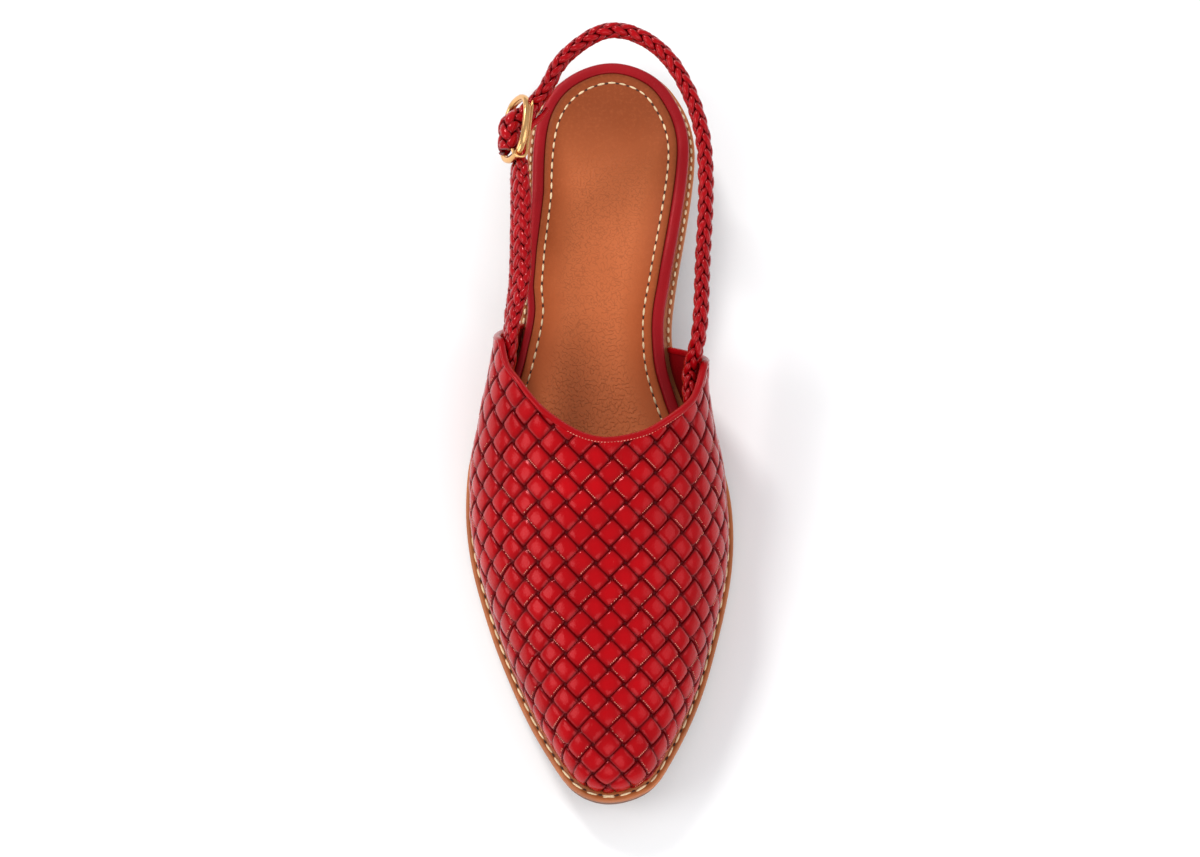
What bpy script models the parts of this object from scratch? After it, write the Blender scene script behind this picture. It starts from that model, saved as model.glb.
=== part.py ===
"""A right shoe: a woven leather slingback loafer with a low stacked heel.

The toe points along -Y, the heel along +Y and the medial side along +X.
The origin is on the ground under the middle of the shoe.
"""

import math
from collections import namedtuple

import bmesh
import bpy
import numpy as np
from mathutils import Vector
from mathutils.geometry import delaunay_2d_cdt

# Sole
SOLE_LENGTH = 0.258
SOLE_WIDTH = 0.0885
HEEL_HEIGHT = 0.012
HEEL_LENGTH = 0.062
TOE_SPRING = 0.009
OUTSOLE_THICKNESS = 0.0045
MIDSOLE_THICKNESS = 0.0027
FOOTBED_THICKNESS = 0.0052
INSOLE_THICKNESS = 0.0016
OUTSOLE_SETBACK = 0.0008
HEEL_SETBACK = 0.0012
HEEL_TAPER = 0.0012
BREAST_HOLLOW = 0.0050
EDGE_ROUNDING = 0.0005
GROOVE_DEPTH = 0.0004
RIM_WIDTH = 0.0036
RIM_RECESS = 0.0021
INSOLE_DISH = 0.0012
FIT_GAP = 0.0003

# Upper
INSTEP_HEIGHT = 0.0482
WALL = 0.0017
STRIP_RELIEF = 0.0007
BINDING_WIDTH = 0.0022
BINDING_RELIEF = 0.0005
STRIP_DIAGONAL = 0.0097
INNER_WALL_STEP = 0.0095
EDGE_STEP = 0.0058

# Straps
STRAP_HEIGHT = 0.0066
STRAP_THICKNESS = 0.0052
BRAID_STEP = 0.0030
BRAID_RELIEF = 0.0006
TAB_HEIGHT = 0.0090
TAB_THICKNESS = 0.0038
TAB_TONGUE_HEIGHT = 0.0050
TAB_TONGUE_THICKNESS = 0.0028
TAB_NARROWING_START = 0.0045
TAB_NARROWING_LENGTH = 0.0060
SLING_TUCK_GAP = 0.0010
TAB_TUCK_GAP = 0.0012

# Buckle
BUCKLE_LENGTH = 0.0240
BUCKLE_HEIGHT = 0.0180
BUCKLE_STOCK = 0.0026
BUCKLE_LEAN = 28.0
BUCKLE_TURN = 6.0
PRONG_STOCK = 0.0014
PRONG_RISE = 0.0052
PRONG_HOOK_GAP = 0.0008

# Sole outline: share of the length from the heel, then each side's share of the width.
Outline = namedtuple("Outline", "along lateral medial")
OUTLINE = (
    Outline(0.020, 0.130, 0.218),
    Outline(0.050, 0.215, 0.295),
    Outline(0.082, 0.256, 0.339),
    Outline(0.120, 0.274, 0.360),
    Outline(0.160, 0.279, 0.356),
    Outline(0.200, 0.280, 0.342),
    Outline(0.250, 0.282, 0.319),
    Outline(0.300, 0.286, 0.294),
    Outline(0.340, 0.294, 0.277),
    Outline(0.376, 0.311, 0.270),
    Outline(0.422, 0.354, 0.290),
    Outline(0.465, 0.410, 0.345),
    Outline(0.500, 0.455, 0.401),
    Outline(0.535, 0.487, 0.450),
    Outline(0.580, 0.500, 0.484),
    Outline(0.628, 0.498, 0.497),
    Outline(0.682, 0.475, 0.491),
    Outline(0.736, 0.434, 0.465),
    Outline(0.790, 0.384, 0.428),
    Outline(0.845, 0.322, 0.384),
    Outline(0.901, 0.249, 0.322),
    Outline(0.955, 0.161, 0.244),
    Outline(0.984, 0.095, 0.177),
)
HEEL_POINT = 0.045
TOE_POINT = 0.027

# Setbacks from the sole edge along the shoe, as shares of the sole width, the footbed's on
# its medial and lateral side, and the lateral rim's share of its full width.
Setback = namedtuple("Setback", "along feather footbed lateral rim")
SETBACKS = (
    Setback(0.000, 0.0045, 0.0249, 0.0249, 1.00),
    Setback(0.190, 0.0045, 0.0256, 0.0240, 1.00),
    Setback(0.270, 0.0045, 0.0258, 0.0130, 0.72),
    Setback(0.318, 0.0045, 0.0260, 0.0120, 0.62),
    Setback(0.350, 0.0045, 0.0310, 0.0280, 0.62),
    Setback(0.390, 0.0045, 0.0330, 0.0300, 0.62),
    Setback(0.440, 0.0090, 0.0440, 0.0400, 0.72),
    Setback(0.500, 0.0203, 0.0720, 0.0680, 1.00),
    Setback(0.580, 0.0362, 0.0900, 0.0890, 1.00),
    Setback(0.700, 0.0407, 0.0904, 0.0904, 1.00),
    Setback(1.000, 0.0407, 0.0791, 0.0791, 1.00),
)

# Profile of the footbed's rim: distance inwards and below its top, as shares of its width.
Rim = namedtuple("Rim", "inwards below")
RIM_PROFILE = (Rim(0.00, 0.40), Rim(0.15, 0.12), Rim(0.50, 0.00), Rim(0.90, 0.15))

# Insole dish: share of its rows at each end over which it fades, and its flatness.
DISH_FADE = 3.0
DISH_POWER = 4
INSOLE_COLUMNS = 5

# Upper sections: where the section meets the sole, its forward lean in degrees,
# the ridge and the bulge of each side as shares of the sole width,
# the height of the widest point as a share of the section height, and its fullness.
Section = namedtuple("Section", "along lean ridge lateral medial widest fullness")
SECTIONS = (
    Section(0.260, 28.0, 0.042, 0.090, 0.140, 0.52, 1.00),
    Section(0.362, 28.0, 0.042, 0.086, 0.136, 0.50, 1.00),
    Section(0.392, 28.0, 0.042, 0.078, 0.128, 0.50, 1.00),
    Section(0.446, 26.5, 0.042, 0.054, 0.095, 0.46, 1.00),
    Section(0.496, 22.0, 0.042, 0.022, 0.050, 0.38, 1.00),
    Section(0.578, 20.9, 0.041, 0.012, 0.013, 0.27, 1.00),
    Section(0.663, 19.0, 0.039, 0.008, 0.010, 0.24, 1.00),
    Section(0.752, 16.5, 0.036, 0.006, 0.010, 0.22, 1.00),
    Section(0.841, 14.7, 0.032, 0.005, 0.008, 0.20, 1.00),
    Section(0.911, 11.6, 0.029, 0.004, 0.006, 0.20, 1.00),
    Section(1.000, 8.0, 0.026, 0.002, 0.002, 0.20, 1.00),
)
THROAT_SECTION = 0.496
QUARTER_LATERAL = 0.362
QUARTER_MEDIAL = 0.392
STATION_COUNT = 141
GIRTH_COUNT = 61

# Topline and its corners: section along the shoe, and share of the half girth
# from the ridge to the sole, negative on the lateral side.
Topline = namedtuple("Topline", "along side")
TOPLINE = (
    Topline(QUARTER_LATERAL, -0.523),
    Topline(0.391, -0.456),
    Topline(0.409, -0.383),
    Topline(0.443, -0.287),
    Topline(0.475, -0.193),
    Topline(0.494, -0.109),
    Topline(0.500, 0.000),
    Topline(0.490, 0.139),
    Topline(0.475, 0.218),
    Topline(0.450, 0.328),
    Topline(0.432, 0.415),
    Topline(0.413, 0.466),
    Topline(QUARTER_MEDIAL, 0.526),
)
TOPLINE_STEPS = 30
FOOT_STEP_GROWTH = 1.35

# Weave: distance along the ridge from the toe to the first crossing.
WEAVE_START = 0.0044
PILLOW_SHARE = 0.60
EDGE_MARGIN = 0.14
SHARPEST_MITRE = 0.6
NARROWEST_BINDING = 0.8
LINING_MARGIN = 0.45

# Strap ends that lie inside the quarters: section along the shoe and share of the half girth.
Tuck = namedtuple("Tuck", "along side")
SLING_TUCK = (Tuck(0.450, 0.530), Tuck(0.428, 0.552), Tuck(0.406, 0.575))
TAB_TUCK = (Tuck(0.425, -0.600), Tuck(0.405, -0.590), Tuck(0.385, -0.575))

# Free run of the straps: share of the sole width, share of the length from the heel,
# and share of the sling height.
SLING_RISE = 0.0640
Route = namedtuple("Route", "across along rise")
BUCKLE_CENTRE = Route(-0.3153, 0.1523, 0.8594)
SLING_ROUTE = (
    Route(0.362, 0.430, 0.775),
    Route(0.378, 0.344, 0.828),
    Route(0.390, 0.267, 0.875),
    Route(0.388, 0.188, 0.922),
    Route(0.367, 0.149, 0.945),
    Route(0.343, 0.123, 0.961),
    Route(0.308, 0.097, 0.977),
    Route(0.261, 0.071, 0.989),
    Route(0.175, 0.044, 1.000),
    Route(0.060, 0.030, 1.000),
    Route(-0.025, 0.036, 0.984),
    Route(-0.101, 0.054, 0.969),
    Route(-0.160, 0.075, 0.942),
)
TAB_ROUTE = (
    Route(-0.322, 0.399, 0.745),
    Route(-0.292, 0.358, 0.775),
    Route(-0.290, 0.294, 0.808),
    Route(-0.289, 0.246, 0.836),
)

# Lean of the band towards the foot, in degrees, at shares of the length from the heel.
Lean = namedtuple("Lean", "along degrees")
TAB_LEAN = (
    Lean(0.200, BUCKLE_LEAN),
    Lean(0.250, 41.0),
    Lean(0.345, 43.0),
    Lean(0.375, 30.0),
    Lean(0.425, 6.0),
)

# Run of the straps at the buckle: shares of the buckle length, the buckle height
# and the strap thickness, measured from the middle of the ring.
Pass = namedtuple("Pass", "back up out")
SLING_PASS = (
    Pass(0.590, 0.320, -1.250),
    Pass(0.430, 0.090, -0.960),
    Pass(0.208, 0.020, -0.423),
    Pass(0.042, 0.000, 0.346),
    Pass(-0.146, 0.000, 0.346),
    Pass(-0.290, 0.000, 0.330),
)
TAB_PASS = (
    Pass(-0.620, 0.000, -0.640),
    Pass(-0.446, 0.000, -0.600),
    Pass(-0.208, 0.000, -0.600),
    Pass(-0.042, 0.000, -0.690),
    Pass(0.125, 0.015, -1.080),
    Pass(0.270, 0.030, -1.580),
    Pass(0.395, 0.050, -1.850),
)

# Strap sections: sides, flatness and the share of the size left at their ends.
SLING_SIDES = 8
TAB_SIDES = 10
TAB_SQUARENESS = 0.75
TAB_BRAID_SHARE = 0.7
STRAP_END_SHARE = 0.75
PRONG_TIP_SHARE = 0.6
RING_FULLNESS = 2.6
HOOK_START = -75
HOOK_END = 90
HOOK_STEPS = 10
PRONG_STEPS = 4
PRONG_SIDES = 8

HEEL_BREAST = SOLE_LENGTH / 2 - HEEL_LENGTH
BALL_BACK = -0.0465 * SOLE_LENGTH
BALL_FRONT = -0.24 * SOLE_LENGTH
ARCH_START = 0.232 * SOLE_LENGTH
TOE_SPRING_POWER = 1.8
OUTSOLE_TOP = OUTSOLE_THICKNESS
MIDSOLE_TOP = OUTSOLE_TOP + FIT_GAP + MIDSOLE_THICKNESS
UPPER_FOOT = MIDSOLE_TOP + FIT_GAP
FOOTBED_TOP = UPPER_FOOT + FOOTBED_THICKNESS
SLAB_ROWS = 36
BREAST_STEPS = 7
CURVE_COUNT = 1600
ROUTE_COUNT = 1200
CROWN_COUNT = 120
SIDE_COUNT = 41
MILLIMETRES = 1000.0


def spline(knots, values):
    """Return a natural cubic curve through the values at the knots."""
    knots = np.asarray(knots, float)
    values = np.asarray(values, float)
    gaps = np.diff(knots)
    matrix = np.eye(len(knots))
    right = np.zeros(values.shape)
    for i in range(1, len(knots) - 1):
        matrix[i, i - 1:i + 2] = gaps[i - 1], 2 * (gaps[i - 1] + gaps[i]), gaps[i]
        slope_out = (values[i + 1] - values[i]) / gaps[i]
        slope_in = (values[i] - values[i - 1]) / gaps[i - 1]
        right[i] = 6 * (slope_out - slope_in)
    bend = np.linalg.solve(matrix, right)

    def curve(at):
        at = np.clip(np.asarray(at, float), knots[0], knots[-1])
        i = np.clip(np.searchsorted(knots, at) - 1, 0, len(knots) - 2)
        gap = gaps[i]
        low = (knots[i + 1] - at) / gap
        high = (at - knots[i]) / gap
        if values.ndim > 1:
            gap, low, high = gap[..., None], low[..., None], high[..., None]
        sag = ((low ** 3 - low) * bend[i] + (high ** 3 - high) * bend[i + 1]) * gap ** 2 / 6
        return low * values[i] + high * values[i + 1] + sag

    return curve


def column(table, name):
    """Return one named column of a table as an array."""
    return np.array([getattr(row, name) for row in table])


def unit(vectors):
    """Scale vectors to length one."""
    return vectors / np.linalg.norm(vectors, axis=-1, keepdims=True)


def ease(share):
    """Turn a share into a smooth step from 0 to 1."""
    share = np.clip(share, 0, 1)
    return share * share * (3 - 2 * share)


def share_along(y):
    """Return the share of the sole length from the heel at y."""
    return 0.5 - np.asarray(y) / SOLE_LENGTH


def y_at(along):
    """Return y at a share of the sole length from the heel."""
    return SOLE_LENGTH * (0.5 - np.asarray(along))


def tread(y):
    """Height of the sole's underside: heel seat, arch, flat ball and toe spring."""
    y = np.asarray(y, float)
    arch = ease((y - BALL_BACK) / (ARCH_START - BALL_BACK))
    toe = np.clip((BALL_FRONT - y) / (SOLE_LENGTH / 2 + BALL_FRONT), 0, None)
    return HEEL_HEIGHT * arch + TOE_SPRING * toe ** TOE_SPRING_POWER


def sole_curve():
    """Closed outline of the sole seen from above, from the heel down the medial side."""
    medial = [(row.medial * SOLE_WIDTH, y_at(row.along)) for row in OUTLINE]
    lateral = [(-row.lateral * SOLE_WIDTH, y_at(row.along)) for row in OUTLINE]
    heel = [(HEEL_POINT * SOLE_WIDTH, SOLE_LENGTH / 2)]
    toe = [(TOE_POINT * SOLE_WIDTH, -SOLE_LENGTH / 2)]
    points = np.array(heel + medial + toe + lateral[::-1])
    wrapped = np.vstack([points[-4:], points, points[:5]])
    chords = np.hypot(*np.diff(wrapped, axis=0).T)
    knots = np.concatenate([[0], np.cumsum(np.sqrt(chords))])
    return spline(knots, wrapped)(np.linspace(knots[4], knots[-5], CURVE_COUNT, endpoint=False))


def inward_normals(curve):
    """Unit normals of the outline that point to its inside, for a clockwise curve."""
    tangent = unit(np.roll(curve, -1, 0) - np.roll(curve, 1, 0))
    return np.c_[tangent[:, 1], -tangent[:, 0]]


class Sole:
    """The sole outline and the loops that are set back from it."""

    def __init__(self):
        self.curve = sole_curve()
        self.inward = inward_normals(self.curve)
        heel = int(np.argmax(self.curve[:, 1]))
        toe = int(np.argmin(self.curve[:, 1]))
        self.curve = np.roll(self.curve, -heel, 0)
        self.inward = np.roll(self.inward, -heel, 0)
        self.toe = (toe - heel) % CURVE_COUNT
        steps = np.arange(SLAB_ROWS + 2) / (SLAB_ROWS + 1)
        eased = 0.5 * steps + 0.25 * (1 - np.cos(math.pi * steps))
        medial = np.round(eased * self.toe).astype(int)
        lateral = np.round(self.toe + eased[1:-1] * (CURVE_COUNT - self.toe)).astype(int)
        self.stations = np.concatenate([medial, lateral])

    def tabled(self, name):
        """Value of a column of the setbacks at each point of the outline."""
        along = share_along(self.curve[:, 1])
        return np.interp(along, column(SETBACKS, "along"), column(SETBACKS, name))

    def footbed_edge(self):
        """Setback of the footbed at each point of the outline."""
        medial = np.arange(CURVE_COUNT) <= self.toe
        return np.where(medial, self.tabled("footbed"), self.tabled("lateral")) * SOLE_WIDTH

    def rim(self):
        """Width of the footbed's rim at each point of the outline."""
        medial = np.arange(CURVE_COUNT) <= self.toe
        return RIM_WIDTH * np.where(medial, 1.0, self.tabled("rim"))

    def loop(self, inset):
        """Outline moved inwards by an inset, one number or one for each point."""
        return self.curve + self.inward * np.broadcast_to(inset, CURVE_COUNT)[:, None]

    def ring(self, inset, height):
        """Loop of the cross rows at a height above the tread."""
        flat = self.loop(inset)[self.stations]
        return np.c_[flat, tread(flat[:, 1]) + height]


def new_material(name, colour, roughness, metallic=0.0):
    """Principled material of one colour."""
    material = bpy.data.materials.new(name)
    material.use_nodes = True
    shader = material.node_tree.nodes["Principled BSDF"]
    shader.inputs["Base Color"].default_value = (*colour, 1.0)
    shader.inputs["Roughness"].default_value = roughness
    shader.inputs["Metallic"].default_value = metallic
    material.diffuse_color = (*colour, 1.0)
    return material


def new_object(name, vertices, faces, material, crease=35.0):
    """Make one named solid from its points and faces, with its faces pointing out."""
    mesh = bpy.data.meshes.new(name)
    mesh.from_pydata([tuple(map(float, point)) for point in vertices], [], faces)
    shape = bmesh.new()
    shape.from_mesh(mesh)
    bmesh.ops.recalc_face_normals(shape, faces=shape.faces)
    shape.to_mesh(mesh)
    shape.free()
    mesh.shade_smooth()
    mesh.set_sharp_from_angle(angle=math.radians(crease))
    mesh.materials.append(material)
    thing = bpy.data.objects.new(name, mesh)
    bpy.context.scene.collection.objects.link(thing)
    return thing


def bridge(first, second, count):
    """Quads between two loops of the same count."""
    quads = []
    for i in range(count):
        j = (i + 1) % count
        quads.append((first + i, first + j, second + j, second + i))
    return quads


def slab(name, material, rings, columns=1, dish=0.0):
    """Solid of stacked rings whose caps run straight across the foot."""
    count = len(rings[0])
    rows = (count - 2) // 2
    vertices = [tuple(point) for ring in rings for point in ring]
    faces = []
    for level in range(len(rings) - 1):
        faces += bridge(level * count, (level + 1) * count, count)
    for base, strips, hollow in ((0, 1, 0.0), ((len(rings) - 1) * count, columns, dish)):
        lines = []
        for row in range(1, rows + 1):
            medial, lateral = base + row, base + count - row
            line = [medial]
            for i in range(1, strips):
                across = i / strips
                start, end = np.array(vertices[medial]), np.array(vertices[lateral])
                point = start + (end - start) * across
                ends = min(1.0, DISH_FADE * min(row, rows + 1 - row) / rows)
                point[2] -= hollow * ends * (1 - (2 * across - 1) ** DISH_POWER)
                line.append(len(vertices))
                vertices.append(tuple(point))
            lines.append(line + [lateral])
        for near, far in zip(lines, lines[1:]):
            faces += [(near[i], near[i + 1], far[i + 1], far[i]) for i in range(strips)]
        for end, line in ((base, lines[0]), (base + rows + 1, lines[-1])):
            faces += [(end, line[i], line[i + 1]) for i in range(strips)]
    return new_object(name, vertices, faces, material)


def build_outsole(sole, material):
    """Leather outsole with one fine groove round its side."""
    edge = OUTSOLE_SETBACK
    middle = OUTSOLE_THICKNESS / 2
    rings = [
        sole.ring(edge + EDGE_ROUNDING, 0.0),
        sole.ring(edge, EDGE_ROUNDING),
        sole.ring(edge, middle - GROOVE_DEPTH),
        sole.ring(edge + GROOVE_DEPTH, middle),
        sole.ring(edge, middle + GROOVE_DEPTH),
        sole.ring(edge, OUTSOLE_TOP),
    ]
    return slab("outsole", material, rings)


def build_midsole(sole, material):
    """Full midsole whose edge is the stitched welt."""
    base = OUTSOLE_TOP + FIT_GAP
    rings = [
        sole.ring(0.0, base),
        sole.ring(0.0, MIDSOLE_TOP - EDGE_ROUNDING),
        sole.ring(EDGE_ROUNDING, MIDSOLE_TOP),
    ]
    return slab("midsole", material, rings)


def build_footbed(sole, material):
    """Covered platform with a rounded rim and a recess for the insole."""
    edge, rim = sole.footbed_edge(), sole.rim()
    rings = [sole.ring(edge, UPPER_FOOT)]
    for row in RIM_PROFILE:
        rings.append(sole.ring(edge + rim * row.inwards, FOOTBED_TOP - RIM_WIDTH * row.below))
    rings.append(sole.ring(edge + rim, FOOTBED_TOP - RIM_RECESS))
    return slab("footbed", material, rings)


def build_insole(sole, material):
    """Sock in the recess, cupped along its middle."""
    edge = sole.footbed_edge() + sole.rim() + FIT_GAP
    base = FOOTBED_TOP - RIM_RECESS + FIT_GAP
    top = base + INSOLE_THICKNESS
    rings = [
        sole.ring(edge, base),
        sole.ring(edge, top - EDGE_ROUNDING),
        sole.ring(edge + EDGE_ROUNDING, top),
    ]
    return slab("insole", material, rings, columns=INSOLE_COLUMNS, dish=INSOLE_DISH)


def heel_stations(sole):
    """Points of the outline from the breast round the heel to the breast."""
    behind = np.flatnonzero(sole.curve[:, 1] >= HEEL_BREAST)
    medial = behind[behind <= sole.toe]
    lateral = behind[behind > sole.toe]
    kept = [i for i in sole.stations if medial[0] <= i < medial[-1] or i > lateral[0]]
    before = [i for i in kept if i > sole.toe]
    after = [i for i in kept if i <= sole.toe]
    return [lateral[0]] + before + after + [medial[-1]]


def build_heel(sole, material):
    """Stacked heel block with two lift lines and a hollowed breast."""
    top = HEEL_HEIGHT - FIT_GAP
    kept = heel_stations(sole)
    levels = [(0.0, HEEL_TAPER + EDGE_ROUNDING), (EDGE_ROUNDING, HEEL_TAPER)]
    for line in (1 / 3, 2 / 3):
        for offset, depth in ((-GROOVE_DEPTH, 0.0), (0.0, GROOVE_DEPTH), (GROOVE_DEPTH, 0.0)):
            levels.append((top * line + offset, HEEL_TAPER * (1 - line) + depth))
    levels.append((top, 0.0))
    vertices = []
    for height, inset in levels:
        loop = sole.loop(OUTSOLE_SETBACK + HEEL_SETBACK + inset)[kept]
        vertices += [(x, y, height) for x, y in loop]
        start, end = loop[-1], loop[0]
        for i in range(1, BREAST_STEPS):
            across = i / BREAST_STEPS
            x, y = start + (end - start) * across
            vertices.append((x, y + BREAST_HOLLOW * math.sin(math.pi * across), height))
    count = len(kept) + BREAST_STEPS - 1
    faces = [tuple(range(count)), tuple(range((len(levels) - 1) * count, len(levels) * count))]
    for level in range(len(levels) - 1):
        faces += bridge(level * count, (level + 1) * count, count)
    return new_object("heel", vertices, faces, material)


class Upper:
    """The upper's outer surface, drawn through leaning sections over the last."""

    def __init__(self, sole):
        feather = sole.loop(sole.tabled("feather") * SOLE_WIDTH)
        toe = int(np.argmin(feather[:, 1]))
        medial, lateral = feather[:toe + 1], feather[toe:]
        tip = feather[toe, 1]
        back = y_at(SECTIONS[0].along)
        self.foot_y = tip + (back - tip) * np.linspace(0, 1, STATION_COUNT) ** 2
        along = share_along(self.foot_y)
        knots = column(SECTIONS, "along")
        shape = {name: spline(knots, column(SECTIONS, name))(along) for name in Section._fields}
        self.lean = np.radians(shape["lean"])
        throat = y_at(THROAT_SECTION)
        self.height = INSTEP_HEIGHT * np.sqrt((self.foot_y - tip) / (throat - tip))
        self.ridge_x = shape["ridge"] * SOLE_WIDTH
        foot_z = tread(self.foot_y) + UPPER_FOOT
        self.points = np.zeros((STATION_COUNT, 2 * GIRTH_COUNT - 1, 3))
        self.girth = np.zeros((STATION_COUNT, 2))
        medial_x = np.interp(self.foot_y, medial[::-1, 1], medial[::-1, 0])
        lateral_x = np.interp(self.foot_y, lateral[:, 1], lateral[:, 0])
        for side, name, edge in ((0, "lateral", lateral_x), (1, "medial", medial_x)):
            sign = 2 * side - 1
            foot = np.abs(edge - self.ridge_x)
            wide = foot + shape[name] * SOLE_WIDTH
            for i in range(STATION_COUNT):
                height, fullness = self.height[i], shape["fullness"][i]
                widest = shape["widest"][i] * height
                across, up = self.half_section(foot[i], wide[i], height, widest, fullness)
                slope = up / math.cos(self.lean[i])
                arc = np.concatenate([[0], np.cumsum(np.hypot(np.diff(across), np.diff(slope)))])
                self.girth[i, side] = arc[-1]
                even = np.linspace(0, arc[-1], GIRTH_COUNT)
                across, up = np.interp(even, arc, across), np.interp(even, arc, up)
                lean_y = self.foot_y[i] - up * math.tan(self.lean[i])
                line = np.c_[self.ridge_x[i] + sign * across, lean_y, foot_z[i] + up]
                if side:
                    self.points[i, GIRTH_COUNT - 1:] = line
                else:
                    self.points[i, :GIRTH_COUNT] = line[::-1]
        ridge = self.points[:, GIRTH_COUNT - 1]
        self.ridge_arc = np.concatenate([[0], np.cumsum(np.linalg.norm(np.diff(ridge, axis=0), axis=1))])
        self.normals = self.surface_normals()

    @staticmethod
    def half_section(foot, wide, height, widest, fullness):
        """Half section from the ridge down to the sole, as distances across and up."""
        turn = np.linspace(math.pi / 2, 0, CROWN_COUNT)
        crown_across = wide * np.cos(turn) ** fullness
        crown_up = widest + (height - widest) * np.sin(turn) ** fullness
        drop = np.linspace(1, 0, SIDE_COUNT)[1:]
        wall_across = foot + (wide - foot) * np.sin(math.pi / 2 * drop)
        return np.concatenate([crown_across, wall_across]), np.concatenate([crown_up, widest * drop])

    def surface_normals(self):
        """Outward unit normals of the grid of points."""
        along = np.gradient(self.points, axis=0)
        around = np.gradient(self.points, axis=1)
        along[0] = along[1]
        around[0] = around[1]
        return unit(np.cross(around, along))

    def ridge_at(self, along):
        """Distance from the toe along the ridge to the section at a share of the length."""
        return np.interp(y_at(along), self.foot_y, self.ridge_arc)

    def girth_at(self, ridge, side):
        """Half girth of the section at a distance along the ridge."""
        lateral = np.interp(ridge, self.ridge_arc, self.girth[:, 0])
        medial = np.interp(ridge, self.ridge_arc, self.girth[:, 1])
        return np.where(np.asarray(side) > 0, medial, lateral)

    def place(self, ridge, side, lift):
        """Point of the surface at chart distances, lifted along its normal."""
        ridge, side = np.atleast_1d(ridge).astype(float), np.atleast_1d(side).astype(float)
        station = np.interp(ridge, self.ridge_arc, np.arange(STATION_COUNT))
        row = np.clip(station.astype(int), 0, STATION_COUNT - 2)
        share = np.clip(side / np.maximum(self.girth_at(ridge, side), 1e-9), -1, 1)
        column_at = (share + 1) * (GIRTH_COUNT - 1)
        col = np.clip(column_at.astype(int), 0, 2 * GIRTH_COUNT - 3)
        down, over = (station - row)[:, None], (column_at - col)[:, None]

        def blend(grid):
            near = grid[row, col] * (1 - over) + grid[row, col + 1] * over
            far = grid[row + 1, col] * (1 - over) + grid[row + 1, col + 1] * over
            return near * (1 - down) + far * down

        return blend(self.points) + unit(blend(self.normals)) * np.broadcast_to(lift, ridge.shape)[:, None]


def chart_boundary(upper):
    """Edge of the upper on its chart, in millimetres: points and how many are bound."""
    rows = np.arange(len(TOPLINE))
    smooth = spline(rows, np.c_[column(TOPLINE, "along"), column(TOPLINE, "side")])
    top = smooth(np.linspace(0, rows[-1], TOPLINE_STEPS))
    ridge = upper.ridge_at(top[:, 0])
    top = np.c_[ridge, top[:, 1] * upper.girth_at(ridge, top[:, 1])]
    edges = {}
    for name, corner, sign in (("medial", top[-1], 1), ("lateral", top[0], -1)):
        full = float(upper.girth_at(corner[0], sign)) * sign
        steps = max(2, round(abs(full - corner[1]) / EDGE_STEP))
        sides = np.linspace(corner[1], full, steps + 1)[1:]
        back = np.c_[np.full(steps, corner[0]), sides]
        count = round(corner[0] / EDGE_STEP)
        start = corner[0] - BINDING_WIDTH
        ridges = start * np.linspace(1, 0, count)[:-1] ** FOOT_STEP_GROWTH
        foot = np.c_[ridges, upper.girth_at(ridges, sign) * sign]
        edges[name] = (back, foot)
    medial_back, medial_foot = edges["medial"]
    lateral_back, lateral_foot = edges["lateral"]
    tip = np.array([[0.0, 0.0]])
    loop = np.vstack([top, medial_back, medial_foot, tip, lateral_foot[::-1], lateral_back[::-1]])
    bound = len(top) + len(medial_back)
    return loop * MILLIMETRES, bound, len(lateral_back)


def distance_inside(points, loop):
    """Signed distance of points to a closed loop, positive inside."""
    start, end = loop, np.roll(loop, -1, 0)
    step = end - start
    relative = points[:, None] - start[None]
    share = np.clip((relative * step).sum(-1) / (step ** 2).sum(-1), 0, 1)
    gap = np.linalg.norm(relative - share[..., None] * step, axis=-1).min(1)
    crosses = (start[:, 1] > points[:, 1:2]) != (end[:, 1] > points[:, 1:2])
    rise = np.where(step[:, 1] == 0, 1e-12, step[:, 1])
    reach = start[:, 0] + (points[:, 1:2] - start[:, 1]) * step[:, 0] / rise
    inside = (crosses & (points[:, :1] < reach)).sum(1) % 2 == 1
    return np.where(inside, gap, -gap)


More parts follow.
